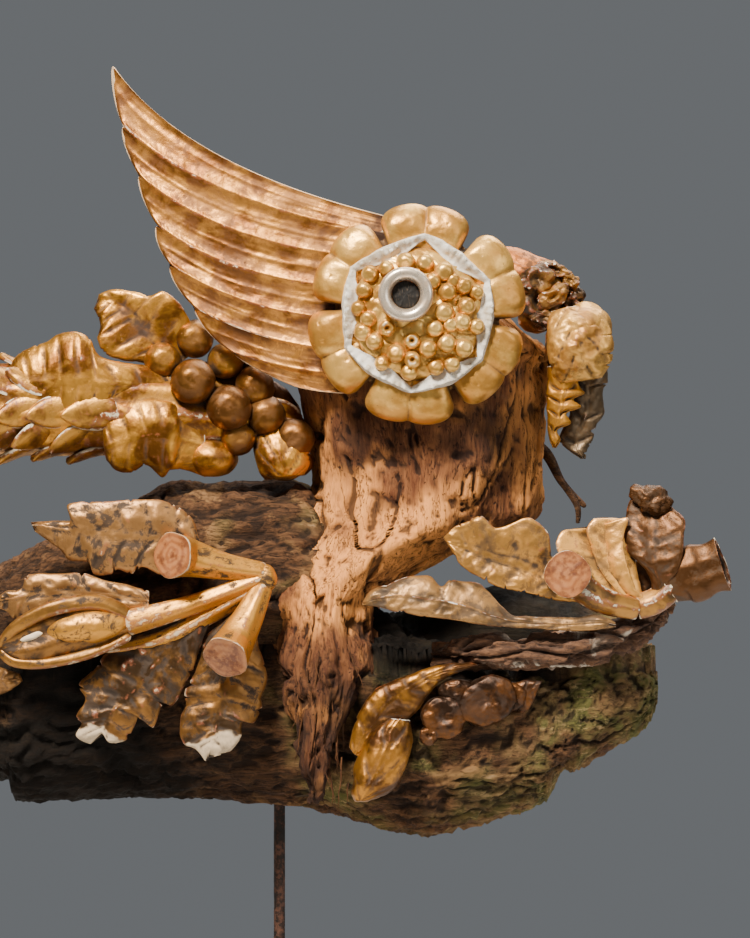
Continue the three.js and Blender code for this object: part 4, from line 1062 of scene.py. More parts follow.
def petals():
    """Six pairs of cushion-shaped petals, each folded down its middle and dished behind its rim."""
    carving = Carving()
    around, across = 450, 56
    turn = round_angles(around)[:, None]
    edge_at, away = petal_edge(turn)
    q = np.linspace(0, 1, across)[None, :]
    inner = 0.58 * ROSETTE_RADIUS
    gap = np.exp(-(((np.abs(away) - FOLD_ANGLE / 2) / 0.075) ** 2))
    fold = np.exp(-np.abs(away) / 0.05)
    # q runs from the collar out over the face, round the rim and along the back
    face = np.clip(q / 0.72, 0, 1)
    rim = np.clip((q - 0.72) / 0.2, 0, 1)
    under = np.clip((q - 0.92) / 0.08, 0, 1)
    reach = inner + (edge_at * 0.955 - inner) * face
    reach = reach + edge_at * 0.045 * np.sin(rim * np.pi) + (inner - edge_at * 0.955) * under
    top = ROSETTE_THICKNESS * (0.84 + 0.1 * np.sin(np.pi * face**0.9) + 0.07 * face - 0.16 * face**6)
    top = top - 7.0 * gap * (0.4 + 0.6 * face) - 3.0 * fold * face**0.7
    lobe = (np.abs(away) - 0.19 * FOLD_ANGLE) / (0.22 * FOLD_ANGLE)
    top = top - 1.5 * np.clip(lobe, 0, 1) ** 2 * face - 0.5 * np.clip(-lobe, 0, 1) ** 2 * face
    lift = top * (1 - rim) + 0.1 * ROSETTE_THICKNESS * rim
    lift = lift * (1 - under)
    p = on_rosette(turn, reach, lift)
    flat = p.reshape(-1, 3)
    press = 1.3 * rough(flat, 22, 131, 2) + 0.5 * rough(flat, 9, 132, 2) + 0.12 * rough(flat, 4, 133, 2)
    pock = step(0.72, 0.85, noise(flat, 3.0, 135)) * 0.7 + step(0.6, 0.85, rough(flat, 11, 137, 3)) * 0.8
    flat[:, 1] += (press + pock) * (1 - np.broadcast_to(under, lift.shape)).reshape(-1)
    rub = np.exp(-(((face - 0.97) / 0.05) ** 2)) * (1 - 0.6 * gap) + 0.5 * rim
    worn_patch = np.exp(-(((turn - math.radians(38)) / 0.22) ** 2)) * np.exp(-(((face - 0.45) / 0.35) ** 2))
    edge = np.clip(0.75 * rub + 0.9 * worn_patch, 0, 1)
    # Painted shade in the gaps between pairs, at the collar's foot and on the back, with dirt and shade along
    # the folds.
    sunk = np.clip(gap * 1.2 + 0.5 * fold * face + step(0.12, 0.0, face) + under, 0, 1)
    carving.skin(flat.reshape(p.shape), edge=edge, sunk=sunk, tint=0, loop=True)
    return carving.object("rosette_petals")


def berry_dome():
    """The dome under the berries: gilded and bumpy, out to the collar's foot."""
    carving = Carving()
    around, across = 200, 62
    turn = round_angles(around)[None, :]
    share = np.concatenate([np.linspace(0.01, 1, across), [1, 0.6, 0.02]])[:, None]
    p = on_rosette(turn, share * COLLAR_RADIUS * 0.84, 0 * share)
    rise = np.concatenate(
        [np.sqrt(np.clip(1 - share[:across, 0] ** 2, 0, 1)) * 0.92, [-1.0, -1.1, -1.1]]
    )[:, None]
    p[..., 1] = ROSETTE_CENTRE[1] - ROSETTE_THICKNESS - rise * BERRY_DOME_HEIGHT + 2.6
    flat = p.reshape(-1, 3)
    face = np.repeat((np.arange(len(share)) < across).astype(float), around)
    seams = cracks(flat * [1, 0.2, 1], (12.0, 30, 12.0), 139)
    flat[:, 1] -= face * (1.5 * np.sqrt(np.clip(seams * 1.6, 0, 1)) - 0.8 + 0.9 * rough(flat, 9, 141, 3))
    # The seams between the bumps darken: painted shade with dirt.
    sunk = 0.5 * step(0.16, 0.0, seams) * face
    carving.skin(p, edge=0, sunk=sunk.reshape(p.shape[:2]), tint=0)
    for right, up in ((-0.27, -0.13), (-0.05, -0.24), (-0.045, -0.41)):
        spot = ROSETTE_CENTRE + at(right * ROSETTE_RADIUS, up * ROSETTE_RADIUS, -ROSETTE_THICKNESS - 9)
        ball(carving, spot, (5.8, 6.4, 6.0), around=34, along=29, dent=0.9, relief=0.7, split=True)
    return carving.object("berry_dome")


def folded_collar():
    """The pale collar: a thin wall in six folds that leans out, crimped and chipped along its lip."""
    carving = Carving()
    around, across = 600, 26
    turn = round_angles(around)[:, None]
    fold = ((turn - FIRST_FOLD) % FOLD_ANGLE) / FOLD_ANGLE
    swell = np.sin(np.pi * fold)
    outer = COLLAR_RADIUS * (0.97 + 0.06 * (1 - swell) ** 1.5 + 0.012 * np.sin(5 * turn + 1))
    inner = outer - COLLAR_WIDTH * (0.42 + 0.6 * swell)
    height = COLLAR_HEIGHT * (0.5 + 0.4 * swell)
    q = np.linspace(0, 1, across, endpoint=False)[None, :]
    a = np.clip(q / 0.4, 0, 1)
    b = np.clip((q - 0.4) / 0.4, 0, 1)
    c = np.clip((q - 0.8) / 0.2, 0, 1)
    crimp = np.sin(turn * 54 + 2 * np.sin(turn * 7)) * 0.5
    lip = outer - 0.12 * COLLAR_WIDTH
    reach = outer - 0.12 * COLLAR_WIDTH * np.sin(a * np.pi / 2)
    reach = np.where(q >= 0.4, lip + (inner - lip) * np.sin(b * np.pi / 2), reach)
    lift = np.where(q < 0.4, height * np.sin(a * np.pi / 2), height - height * 0.5 * b**1.6)
    lift = np.where(q >= 0.8, height * 0.5 - (height * 0.5 + 3) * c, lift)
    wall = np.exp(-(((q - 0.4) / 0.16) ** 2))
    lift = lift + crimp * 0.9 * wall
    gutter = np.exp(-(((q - 0.6) / 0.09) ** 2)) * swell
    lift = lift - 2.4 * gutter
    p = on_rosette(turn, reach + 0.5 * crimp * wall, ROSETTE_THICKNESS * 0.86 + lift)
    flat = p.reshape(-1, 3)
    flat[:, 1] += 0.9 * rough(flat, 6, 143, 3) + 0.9 * step(0.35, 0.8, rough(flat, 8, 145, 3))
    flat[:, 0] += 0.8 * rough(flat, 9, 144, 2)
    flat[:, 2] += 0.8 * rough(flat, 9, 146, 2)
    gnaw = step(0.3, 0.8, rough(flat, 10, 147, 3)) * np.broadcast_to(wall, reach.shape).reshape(-1)
    flat[:, 1] += 2.2 * gnaw
    edge = np.clip(wall * 1.2 + 0.15, 0, 1) * np.ones_like(reach)
    # Darker at the wall's foot, in the gutter and down the inner slope: painted shade with some dirt.
    sunk = np.clip(gutter * 0.35 + np.exp(-((q / 0.1) ** 2)) + c, 0, 1) * np.ones_like(reach)
    carving.skin(flat.reshape(p.shape), edge=edge, sunk=sunk, tint=1, loop=True)
    return carving.object("folded_collar")


# Berries seen in the rosette: right and up from its centre and radius, in shares of its radius
BERRIES = [
    [-0.44, 0.37, 0.08], [-0.29, 0.42, 0.075], [-0.11, 0.48, 0.085], [0.07, 0.48, 0.08], [0.25, 0.39, 0.09],
    [0.43, 0.26, 0.085], [0.545, 0.2, 0.075], [0.28, 0.2, 0.085], [0.455, 0.07, 0.08], [0.25, 0.01, 0.09],
    [0.41, -0.08, 0.085], [0.16, -0.14, 0.08], [-0.46, -0.05, 0.075], [-0.51, -0.17, 0.085],
    [-0.4, -0.26, 0.08], [-0.2, -0.375, 0.09], [0.1, -0.33, 0.085], [0.27, -0.28, 0.085],
    [0.43, -0.32, 0.085], [-0.08, -0.545, 0.08], [0.17, -0.5, 0.075], [-0.33, -0.46, 0.07],
    [0.32, -0.47, 0.07], [0.55, -0.12, 0.075], [0.31, -0.1, 0.07], [-0.55, 0.05, 0.07],
    [-0.5, 0.22, 0.075], [0.14, 0.3, 0.075], [0.33, 0.31, 0.07],
]


SEED_RADIUS = 7


def berry_seed():
    """One berry: a slightly flattened ball with a dimple at its tip."""
    carving = Carving()
    ball(carving, at(0, 0), (SEED_RADIUS,) * 3, around=19, along=13, dent=0.16, relief=0.15, edge=0.15)
    return carving.object("berry_seed", lifted=False)


LAUREL_LEAF_LENGTH = 34


def laurel_seed():
    """One laurel leaf, pointing left: folded along its rib, with thin pale edges."""
    carving = Carving()
    stations = [
        [400, 200, 400, 0, 0, 400, -200],
        [300, 300, 300, 0, 0, 300, -300],
        [0, 400, 0, 0, 0, 0, -400],
        [-350, 350, -350, 0, 0, -350, -350],
        [-650, 200, -650, 0, 0, -650, -200],
        [-850, 15, -850, 0, 0, -850, -15],
    ]
    leaf(
        carving, Place(at(0, 0), LAUREL_LEAF_LENGTH), stations, thick=6, bend=(0.22, 0.22), crease=0.08,
        along=22, across=11, veins=4, vein_depth=0.2, lobe_depth=0, chips=0.03, worn=0.35,
    )
    return carving.object("laurel_seed", lifted=False)


def planting_tree(name, seed_piece, finish):
    """Sets a seed piece on every point, turned and sized by the point's own marks."""
    tree = bpy.data.node_groups.new(name, "GeometryNodeTree")
    face = tree.interface
    face.new_socket("Geometry", in_out="INPUT", socket_type="NodeSocketGeometry")
    size = face.new_socket("Size", in_out="INPUT", socket_type="NodeSocketFloat")
    spread = face.new_socket("Size spread", in_out="INPUT", socket_type="NodeSocketFloat")
    seed = face.new_socket("Seed", in_out="INPUT", socket_type="NodeSocketInt")
    face.new_socket("Geometry", in_out="OUTPUT", socket_type="NodeSocketGeometry")
    size.default_value = 1.0
    spread.default_value = 0.1
    seed.default_value = 4
    given = tree.nodes.new("NodeGroupInput").outputs
    end = tree.nodes.new("NodeGroupOutput")
    info = add(tree, "GeometryNodeObjectInfo", {"Object": seed_piece})
    aim = add(tree, "GeometryNodeInputNamedAttribute", {"Name": "aim"}, data_type="FLOAT_VECTOR")
    own = add(tree, "GeometryNodeInputNamedAttribute", {"Name": "size"})
    chance = add(tree, "FunctionNodeRandomValue", {"Min": -1, "Max": 1, "Seed": given["Seed"]})
    vary = sums(tree, "MULTIPLY_ADD", chance.outputs["Value"], given["Size spread"], 1)
    sized = times(tree, own.outputs["Attribute"], given["Size"])
    feeds = {
        "Points": given["Geometry"], "Instance": info.outputs["Geometry"],
        "Rotation": aim.outputs["Attribute"], "Scale": times(tree, vary, sized),
    }
    plant = add(tree, "GeometryNodeInstanceOnPoints", feeds)
    real = add(tree, "GeometryNodeRealizeInstances", {"Geometry": plant.outputs["Instances"]})
    dress = add(
        tree, "GeometryNodeSetMaterial", {"Geometry": real.outputs["Geometry"], "Material": finish}
    )
    tree.links.new(dress.outputs["Geometry"], end.inputs["Geometry"])
    return tree, {"size": size.identifier, "spread": spread.identifier, "seed": seed.identifier}


def planted(name, seed_piece, finish, spots, aims, sizes, spread=0.08, seed=4):
    """A plain mesh of seed pieces, one at each spot of the sculpture."""
    mesh = bpy.data.meshes.new(name)
    mesh.from_pydata([tuple((s + [0, 0, SEAT_HEIGHT]) * 0.001) for s in spots], [], [])
    layer = mesh.attributes.new("aim", "FLOAT_VECTOR", "POINT")
    layer.data.foreach_set("vector", np.asarray(aims, np.float32).reshape(-1))
    write(mesh, "size", sizes)
    obj = linked(name, mesh)
    tree, sockets = planting_tree(name + "_planting", seed_piece, finish)
    rows = obj.modifiers.new("planting", "NODES")
    rows.node_group = tree
    rows[sockets["size"]] = 1.0
    rows[sockets["spread"]] = spread
    rows[sockets["seed"]] = seed
    graph = bpy.context.evaluated_depsgraph_get()
    made = bpy.data.meshes.new_from_object(obj.evaluated_get(graph))
    obj.modifiers.clear()
    obj.data = made
    bpy.data.objects.remove(seed_piece)
    made.polygons.foreach_set("use_smooth", np.ones(len(made.polygons), bool))
    return obj


def berries(finish):
    """The berries crowd the dome, smaller ones between the larger."""
    spots, aims, sizes = [], [], []
    for right, up, radius in BERRIES:
        reach = math.hypot(right, up) / 0.62
        right, up = 0.95 * right, 0.95 * up
        lift = ROSETTE_THICKNESS + BERRY_DOME_HEIGHT * max(1 - reach**2, 0.0) ** 0.5 * 0.75 + 0.8
        spots.append(ROSETTE_CENTRE + at(right * ROSETTE_RADIUS, up * ROSETTE_RADIUS, -lift))
        aims.append([0.5 * up, 0, 0.6 * right])
        sizes.append(radius * ROSETTE_RADIUS / SEED_RADIUS)
    return planted("rosette_berries", berry_seed(), finish, spots, aims, sizes, spread=0.05)


EYE_CENTRE = ROSETTE_CENTRE + at(
    -0.105 * ROSETTE_RADIUS, 0.166 * ROSETTE_RADIUS, -ROSETTE_THICKNESS - BERRY_DOME_HEIGHT
)


def eye_ring():
    """The polished ring: a rolled outer lip, a dished face and a thin inner edge."""
    carving = Carving()
    around, across = 160, 60
    profile = spline([
        [1.0, 0.0], [1.0, 0.5], [0.98, 0.74], [0.93, 0.88], [0.86, 0.94], [0.78, 0.95],
        [0.71, 0.92], [0.65, 0.86], [0.6, 0.75], [0.56, 0.6], [0.53, 0.42], [0.515, 0.0],
    ], across)
    turn = round_angles(around)[:, None]
    reach = np.broadcast_to(profile[:, 0] * EYE_RADIUS, (around, across))
    lift = np.broadcast_to(profile[:, 1] * EYE_THICKNESS, (around, across))
    p = np.stack([np.cos(turn) * reach, -lift, np.sin(turn) * reach], -1) + EYE_CENTRE
    carving.skin(p, edge=0, sunk=0, tint=0, loop=True)
    return carving.object("eye_ring_turned")


def pupil():
    """The dark plug: a rough end of fibres, set back in the ring."""
    carving = Carving()
    reach = np.array([0.04, 0.2, 0.4, 0.6, 0.8, 0.93, 0.985, 0.985, 0.5, 0.04]) * EYE_HOLE_RADIUS
    lift = np.array([3.4, 3.3, 3.2, 3.1, 2.9, 2.6, 2.0, 0, 0, 0])
    turn = round_angles(90)[None, :]
    reach, lift = reach[:, None], lift[:, None]
    p = np.stack([np.cos(turn) * reach, -lift + 0 * turn, np.sin(turn) * reach], -1) + EYE_CENTRE
    flat = p.reshape(-1, 3)
    flat[:, 1] += 1.1 * rough(flat, (1.6, 9, 3), 151, 3)
    carving.skin(p, edge=0, sunk=0, tint=0)
    return carving.object("pupil_fibres")


GARLAND_PLACE = Place(head_point(0.0593, 0.68, -0.065), GARLAND_LENGTH)


def garland():
    """Vine leaves and grapes over the core of the rope."""
    carving = Carving()
    place = GARLAND_PLACE
    share = ROPE_RADIUS / GARLAND_LENGTH
    radii = [part * share for part in (0.5, 0.88, 0.97, 0.74, 0.1)]
    stem(carving, place, ROPE_PATH, radii, along=102, around=68, flutes=9, relief=1.2)
    thick = 0.0286 * GARLAND_LENGTH
    leaf(
        carving, place, VINE_UPTURNED, thick, (-0.2, -0.2), along=68, across=29, veins=6, vein_depth=1.1,
        seed=31,
    )
    leaf(carving, place, VINE_LONG, thick, (0.3, 0.3), along=102, across=31, veins=9, vein_depth=1.3, seed=32)
    leaf(carving, place, VINE_UNDER, thick, (0.3, 0.3), along=68, across=31, veins=6, vein_depth=1.1, seed=33)
    for share_at, half in (
        ([-0.205, -0.058, -0.03], (0.054, 0.051, 0.042)),
        ([-0.058, -0.068, -0.02], (0.054, 0.042, 0.039)),
    ):
        ball(carving, place.spot(share_at), np.array(half) * GARLAND_LENGTH, around=34, along=22, relief=1.2)
    leaf(
        carving, place, VINE_HANGING, thick * 1.5, (0.4, 0.4), along=60, across=29, veins=3,
        vein_depth=1.4, lean=-2.0, seed=34,
    )
    # A bed between the grapes in the near black-brown third colour: painted shade.
    ball(
        carving, place.spot([-0.15, 0.07, 0.0]), (44, 9, 22), turn=-0.35, around=60, along=34, relief=2.2,
        tint=2,
    )
    for k, (right, up, back, size) in enumerate(GRAPE_SPOTS):
        half = size * GRAPE_RADIUS
        ball(
            carving, place.spot([right, up, back]), (half, half, half), turn=0.6 * k, around=51, along=37,
            dent=0.1, relief=0.9, edge=0.05, tint=0.62 + 0.09 * (k % 4),
        )
    return carving.object("vine_and_grapes")


def laurels(finish):
    """Overlapping laurel leaves in rows round the rope, each pointing to the tail."""
    samples = 400
    line = spline([GARLAND_PLACE.spot(p) for p in ROPE_PATH], samples)
    spots, aims, sizes = [], [], []
    own = np.random.default_rng(29)
    columns = 11
    for i in range(columns):
        along = i / columns
        shrink = 1 - 0.62 * along**2
        for k, round_at in enumerate((-75, -38, 0, 38, 75)):
            shift = 0.5 * (k % 2) / columns
            spot = line[int((samples - 1) * min(0.36 + 0.62 * (along + shift), 0.995))].copy()
            tilt = math.radians(round_at + own.uniform(-5, 5))
            reach = ROPE_RADIUS * 0.93 * shrink
            spot += at(0, math.sin(tilt) * reach, -math.cos(tilt) * reach)
            lean = math.radians(own.uniform(5, 10))
            droop = math.radians((-16, -22, -8, 12, 20)[k])
            spots.append(spot)
            aims.append([-tilt, droop + math.radians(own.uniform(-5, 5)), lean])
            sizes.append(shrink * own.uniform(0.82, 0.98))
    return planted("laurel_leaves", laurel_seed(), finish, spots, aims, sizes, spread=0.04)


def left_spray():
    """Lobed leaves, a seed pod and two sawn stubs, on stems from one joint."""
    carving = Carving()
    place = Place(jaw_point(-0.013, 0.306, -0.156), LEFT_SPRAY_LENGTH)
    round_share = STUB_RADIUS / LEFT_SPRAY_LENGTH
    upper_rim = [
        [-0.5, -0.15, -0.08], [-0.62, -0.1, -0.11], [-0.78, -0.12, -0.13], [-0.92, -0.19, -0.11],
        [-0.985, -0.27, -0.06],
    ]
    lower_rim = [
        [-0.5, -0.22, -0.08], [-0.66, -0.29, -0.1], [-0.82, -0.325, -0.1], [-0.93, -0.32, -0.08],
        [-0.985, -0.28, -0.06],
    ]
    upper_stub = [[0, 0.007, -0.03], [-0.16, 0.034, -0.05], [-0.29, 0.067, -0.08], [-0.345, 0.075, -0.15]]
    lower_stub = [
        [-0.01, -0.03, -0.03], [-0.067, -0.153, -0.06], [-0.12, -0.25, -0.11], [-0.149, -0.3, -0.18],
    ]
    for path, swelling in ((upper_stub, 0.05), (lower_stub, 0.055)):
        radii = [0.035, swelling, 0.85 * round_share, round_share]
        stem(carving, place, path, radii, along=51, around=41, tint=1, sawn=True)
    stem(
        carving, place, [[0.01, 0.0, -0.03], [-0.25, -0.1, -0.05], [-0.53, -0.178, -0.07]],
        [0.035, 0.036, 0.05], along=51, around=24, tint=1,
    )
    stem(
        carving, place,
        [[-0.03, -0.04, -0.02], [-0.22, -0.15, -0.02], [-0.4, -0.24, -0.02], [-0.6, -0.28, 0.0]],
        [0.035, 0.035, 0.03, 0.02], along=42, around=20, tint=1,
    )
    ball(carving, place.spot([-0.01, -0.012, -0.03]), (9, 8, 10), around=34, along=24, tint=1, relief=0.5)
    ball(
        carving, place.spot([-0.665, -0.19, -0.09]), (29, 12, 12), turn=0.12, around=60, along=42,
        tint=0.8, relief=1.2,
    )
    stem(
        carving, place, upper_rim, [0.026, 0.026, 0.024, 0.02, 0.016], along=68, around=20, flutes=2,
        relief=0.9, tint=0.5,
    )
    stem(
        carving, place, lower_rim, [0.02, 0.018, 0.016, 0.016, 0.014], along=68, around=17, flutes=2,
        relief=0.6, tint=0.5,
    )
    ball(
        carving, place.spot([-0.86, -0.222, -0.095]), (10, 4, 3.2), turn=0.35, around=26, along=17,
        tint=4, relief=0.5,
    )
    leaf(
        carving, place, LEFT_UPPER, along=110, across=31, veins=7, vein_depth=1.0, lobe_depth=2.4,
        chips=0.14, crumple=1.2, seed=41, tint=1.6,
    )
    leaf(
        carving, place, LEFT_MIDDLE, along=85, across=27, veins=6, vein_depth=0.9, lobe_depth=2.0,
        chips=0.14, crumple=1.2, seed=42, tint=1.6,
    )
    leaf(
        carving, place, POD, LEAF_THICKNESS * 2.2, (0.3, 0.3), crease=0.3, along=76, across=37, veins=0,
        vein_depth=0, lobe_depth=1.4, seed=43,
    )
    leaf(
        carving, place, LEFT_LOWER, along=110, across=31, veins=8, vein_depth=0.9, lobe_depth=2.4,
        chips=0.12, crumple=1.4, seed=44, bare_from=0.83,
    )
    leaf(
        carving, place, LEFT_BOTTOM, LEAF_THICKNESS, (0.25, 0.25), along=102, across=29, veins=8,
        vein_depth=0.9, lobe_depth=2.4, chips=0.12, crumple=1.4, seed=45, bare_from=0.8,
    )
    return carving.object("left_spray_carved")


RIGHT_SPRAY = Place(
    jaw_point(0.466, 0.269, -0.125) + at(0, 0, -0.485 * LEDGE_THICKNESS), RIGHT_SPRAY_LENGTH
)


def right_spray():
    """A lobed leaf, a fan leaf, a twisted leaf, a curled bell and a broken stub."""
    carving = Carving()
    place = RIGHT_SPRAY
    round_share = STUB_RADIUS / RIGHT_SPRAY_LENGTH
    stem(
        carving, place, [[-0.01, -0.02, -0.02], [-0.133, 0.01, -0.05], [-0.228, 0.07, -0.06]],
        [0.035, 0.045, 0.05], along=42, around=24,
    )
    stem(
        carving, place, [[-0.255, 0.1, 0], [-0.262, 0.105, -0.13]], [round_share, round_share], along=34,
        around=51, flutes=4, relief=0.5, sawn=True,
    )
    stem(
        carving, place, [[-0.02, -0.01, 0], [0.05, 0.01, 0], [0.12, 0.07, 0]], [0.045, 0.045, 0.045],
        along=34, around=24,
    )
    bell(carving, place)
    leaf(
        carving, place, LEDGE_LOBED, bend=(-0.12, -0.12), along=128, across=34, veins=5, vein_depth=0.8,
        lobe_depth=2.2, chips=0.14, crumple=1.4, seed=51, tint=0.55,
    )
    leaf(
        carving, place, LEDGE_FAN, bend=(-0.3, -0.3), crease=0.2, along=94, across=31, veins=4,
        vein_depth=0.8, seed=52, tint=0.9,
    )
    leaf(
        carving, place, LEDGE_TWIST, bend=(-0.2, 0.2), crease=0.12, crumple=1.2, along=76, across=31,
        veins=4, vein_depth=0.8, seed=53, tint=1.6,
    )
    leaf(
        carving, place, FAN_SIDE, bend=(-0.2, 0.2), crease=0.1, along=76, across=26, veins=3,
        vein_depth=0.7, crumple=1.0, seed=54, tint=0.9,
    )
    # A dark lump set back in the gap between the fan and the twist: painted shade.
    ball(carving, place.spot([0.0, 0.07, 0.06]), (11, 5, 17), around=34, along=26, tint=1.6, relief=1.5)
    ball(
        carving, place.spot([0.035, 0.362, 0.0]), (15, 8, 10), turn=-0.35, around=60, along=46, tint=1.6,
        relief=3.0,
    )
    return carving.object("right_spray_carved")


def bell(carving, place):
    """The curled bell: a barrel that flares to a thin lip round a deep hollow."""
    along, around, inner_rings = 60, 64, 23
    path = [[0.09, 0.05, 0], [0.14, 0.085, 0], [0.21, 0.11, -0.005], [0.285, 0.135, -0.02]]
    outside = spline([place.spot(p) for p in path], along)
    way_in = [outside[-1], outside[int(0.7 * along)], outside[int(0.4 * along)]]
    inside = spline(way_in, inner_rings + 1)[1:]
    line = np.vstack([outside, inside])
    outer = spline([[12], [16], [20], [21], [18], [19.5]], along)[:, 0]
    inner = spline([[17.2], [13.5], [9], [1]], inner_rings)[:, 0]
    radius = np.concatenate([outer, inner])
    u, v = ring_axes(outside)
    u = np.vstack([u, np.repeat(u[-1:], inner_rings, 0)])
    v = np.vstack([v, np.repeat(v[-1:], inner_rings, 0)])
    turn = round_angles(around)
    wavy = 0.13 * np.sin(3 * turn + 0.7) + 0.07 * np.sin(7 * turn)
    lobes = 1 + wavy[None, :] * np.linspace(0.3, 1, len(line))[:, None]
    reach = radius[:, None] * lobes * 0.92
    p = line[:, None] + reach[..., None] * ring_ways(u, v, turn, 0.75)
    flat = p.reshape(-1, 3)
    flat += (0.5 * rough(flat, 7, 171, 3))[:, None] * at(0.3, 0.6, 0.6)
    # Painted shade, deepening into the bell's hollow.
    dark = np.concatenate([np.zeros(along), np.linspace(0.3, 1, inner_rings)])[:, None] + 0 * turn
    lip = np.exp(-(((np.arange(len(line)) - along) / 1.6) ** 2))[:, None] + 0 * turn
    carving.skin(flat.reshape(p.shape), edge=0.4 * lip, sunk=dark, tint=1.6)


def lip_leaf():
    """The long thin leaf over the mouth, which stands on the right spray."""
    carving = Carving()
    anchor = RIGHT_SPRAY.spot([-0.098, -0.084, -0.0545])
    leaf(
        carving, Place(anchor, LIP_LENGTH), LIP_STATIONS, bend=(0.45, -0.2), crease=0, along=162,
        across=29, veins=7, vein_depth=0.7, chips=0.12, crumple=1.2, seed=61,
    )
    return carving.object("lip_leaf_carved")


def crown_scroll():
    """The broken scroll on the crown: a cup with a hollow, a knob and a strip that leans back."""
    carving = Carving()
    place = Place(head_point(0.51, 0.869, -0.05), CROWN_LENGTH)
    for spot, half, dent in (
        ([-0.08, 0.26, 0], (0.26, 0.3, 0.28), 0.5),
        ([0.2, 0.34, 0.02], (0.12, 0.13, 0.13), 0.2),
        ([0.13, 0.13, -0.02], (0.12, 0.16, 0.15), 0.1),
    ):
        half = np.array(half) * CROWN_LENGTH
        ball(carving, place.spot(spot), half, around=68, along=51, dent=dent, relief=4.5, edge=0.1)
    leaf(
        carving, place, CROWN_STRIP, LEAF_THICKNESS * 1.6, (0.4, 0.1), along=76, across=29, veins=5,
        vein_depth=0.8, seed=71, tint=0.7,
    )
    for spot, half, turn in (
        ([-0.13, 0.47, -0.22], (0.17, 0.11, 0.15), 0.3), ([0.05, 0.56, -0.12], (0.17, 0.12, 0.07), -0.35),
        ([0.19, 0.46, -0.14], (0.1, 0.1, 0.07), -0.5), ([0.2, 0.24, -0.14], (0.08, 0.12, 0.12), 0.2),
        ([0.02, 0.3, -0.26], (0.17, 0.1, 0.09), 0.6), ([-0.06, 0.1, -0.26], (0.15, 0.08, 0.08), -0.2),
    ):
        half = np.array(half) * CROWN_LENGTH
        ball(carving, place.spot(spot), half, turn, 60, 44, dent=0.7, relief=3.0, edge=0.35)
    return carving.object("crown_scroll_carved")


def snout_leaves():
    """The gilded cap and its two hanging leaves."""
    carving = Carving()
    place = Place(head_point(0.525, 0.866, -0.09), SNOUT_LENGTH)
    upper, lower = np.array([[0.215, 0.3, 0.26], [0.13, 0.22, 0.2]]) * SNOUT_LENGTH
    ball(carving, place.spot([0.2, -0.04, 0.02]), upper, around=76, along=51, relief=3.2, edge=0.1)
    ball(carving, place.spot([0.03, -0.1, 0]), lower, around=60, along=42, relief=2.4, edge=0.1)
    leaf(
        carving, place, SNOUT_CAP, LEAF_THICKNESS * 2, (0.5, 0.5), along=94, across=46, veins=3,
        vein_depth=1.6, lean=1.4, chips=0.12, crumple=3.4, seed=83,
    )
    leaf(
        carving, place, SNOUT_JAGGED, LEAF_THICKNESS * 1.3, (0.1, 0.25), crease=0.05, along=128,
        across=34, veins=5, vein_depth=2.2, lobe_depth=2.0, lean=-0.6, chips=0.1, crumple=0.8, seed=81,
        tint=1,
    )
    leaf(
        carving, place, SNOUT_HANGING, LEAF_THICKNESS * 1.6, (0.1, 0.3), along=110, across=37, veins=4,
        vein_depth=2.4, lobe_depth=2.0, lean=-0.4, chips=0.2, crumple=1.6, seed=82, tint=2,
    )
    return carving.object("snout_leaves_carved")


def bud_sprig():
    """A closed bud and the leaf above it."""
    carving = Carving()
    place = Place(jaw_point(0.163, 0.157, -0.165), BUD_LENGTH)
    leaf(
        carving, place, BUD_PETALS, LEAF_THICKNESS * 3, (0.35, 0.35), along=85, across=37, veins=3,
        vein_depth=1.2, lean=-1.2, seed=91,
    )
    leaf(
        carving, place, BUD_BLADE, LEAF_THICKNESS * 1.5, (0.2, 0.2), along=94, across=31, veins=7,
        vein_depth=0.9, seed=92,
    )
    return carving.object("bud_sprig_carved")


# Right, up and back of each lobe, half its width and height, and its turn
CLOVER_LOBES = [
    [-0.31, -0.09, 0, 0.19, 0.18, 0.4],
    [-0.2, 0.13, 0.02, 0.15, 0.1, 0.1],
    [0.06, 0.05, -0.02, 0.25, 0.2, 0.4],
    [-0.43, -0.24, 0, 0.08, 0.08, 0],
    [0.26, 0.09, 0.03, 0.12, 0.12, 0],
]


def clover():
    """The fragment of flat round lobes beside the bud."""
    carving = Carving()
    place = Place(jaw_point(0.26, 0.138, -0.162), CLOVER_LENGTH)
    for right, up, back, wide, high, turn in CLOVER_LOBES:
        half = np.array([wide, 0.085, high]) * CLOVER_LENGTH
        ball(
            carving, place.spot([right, up, back]), half, turn, 60, 48, dent=0.25, relief=1.5, edge=0.1,
            bluff=0.4,
        )
    leaf(carving, place, CLOVER_CORNER, along=51, across=26, veins=3, seed=101)
    return carving.object("clover_carved")


def side_leaf():
    """The end of a leaf at the tail of the log."""
    carving = Carving()
    place = Place(jaw_point(-0.358, 0.17, -0.145), SIDE_LEAF_LENGTH)
    leaf(
        carving, place, SIDE_BLADE, LEAF_THICKNESS * 1.3, along=76, across=31, veins=6, vein_depth=0.9,
        seed=111,
    )
    return carving.object("side_leaf_carved")


def twig():
    """The forked twig under the snout."""
    carving = Carving()
    place = Place(head_point(0.5, 0.64, -0.02), TWIG_LENGTH)
    share = TWIG_RADIUS / TWIG_LENGTH
    stem(
        carving, place, [[-0.35, 0.2, 0.2], [0, 0, 0], [0.2, -0.35, -0.05], [0.46, -0.62, -0.05]],
        [1.3 * share, 1.5 * share, share, 0.7 * share], along=76, around=17, relief=0.3,
    )
    stem(
        carving, place, [[0.2, -0.35, -0.05], [0.36, -0.6, -0.1], [0.37, -0.8, -0.1]],
        [0.9 * share, 0.8 * share, 0.5 * share], along=51, around=14, relief=0.3,
    )
    return carving.object("twig_bark")


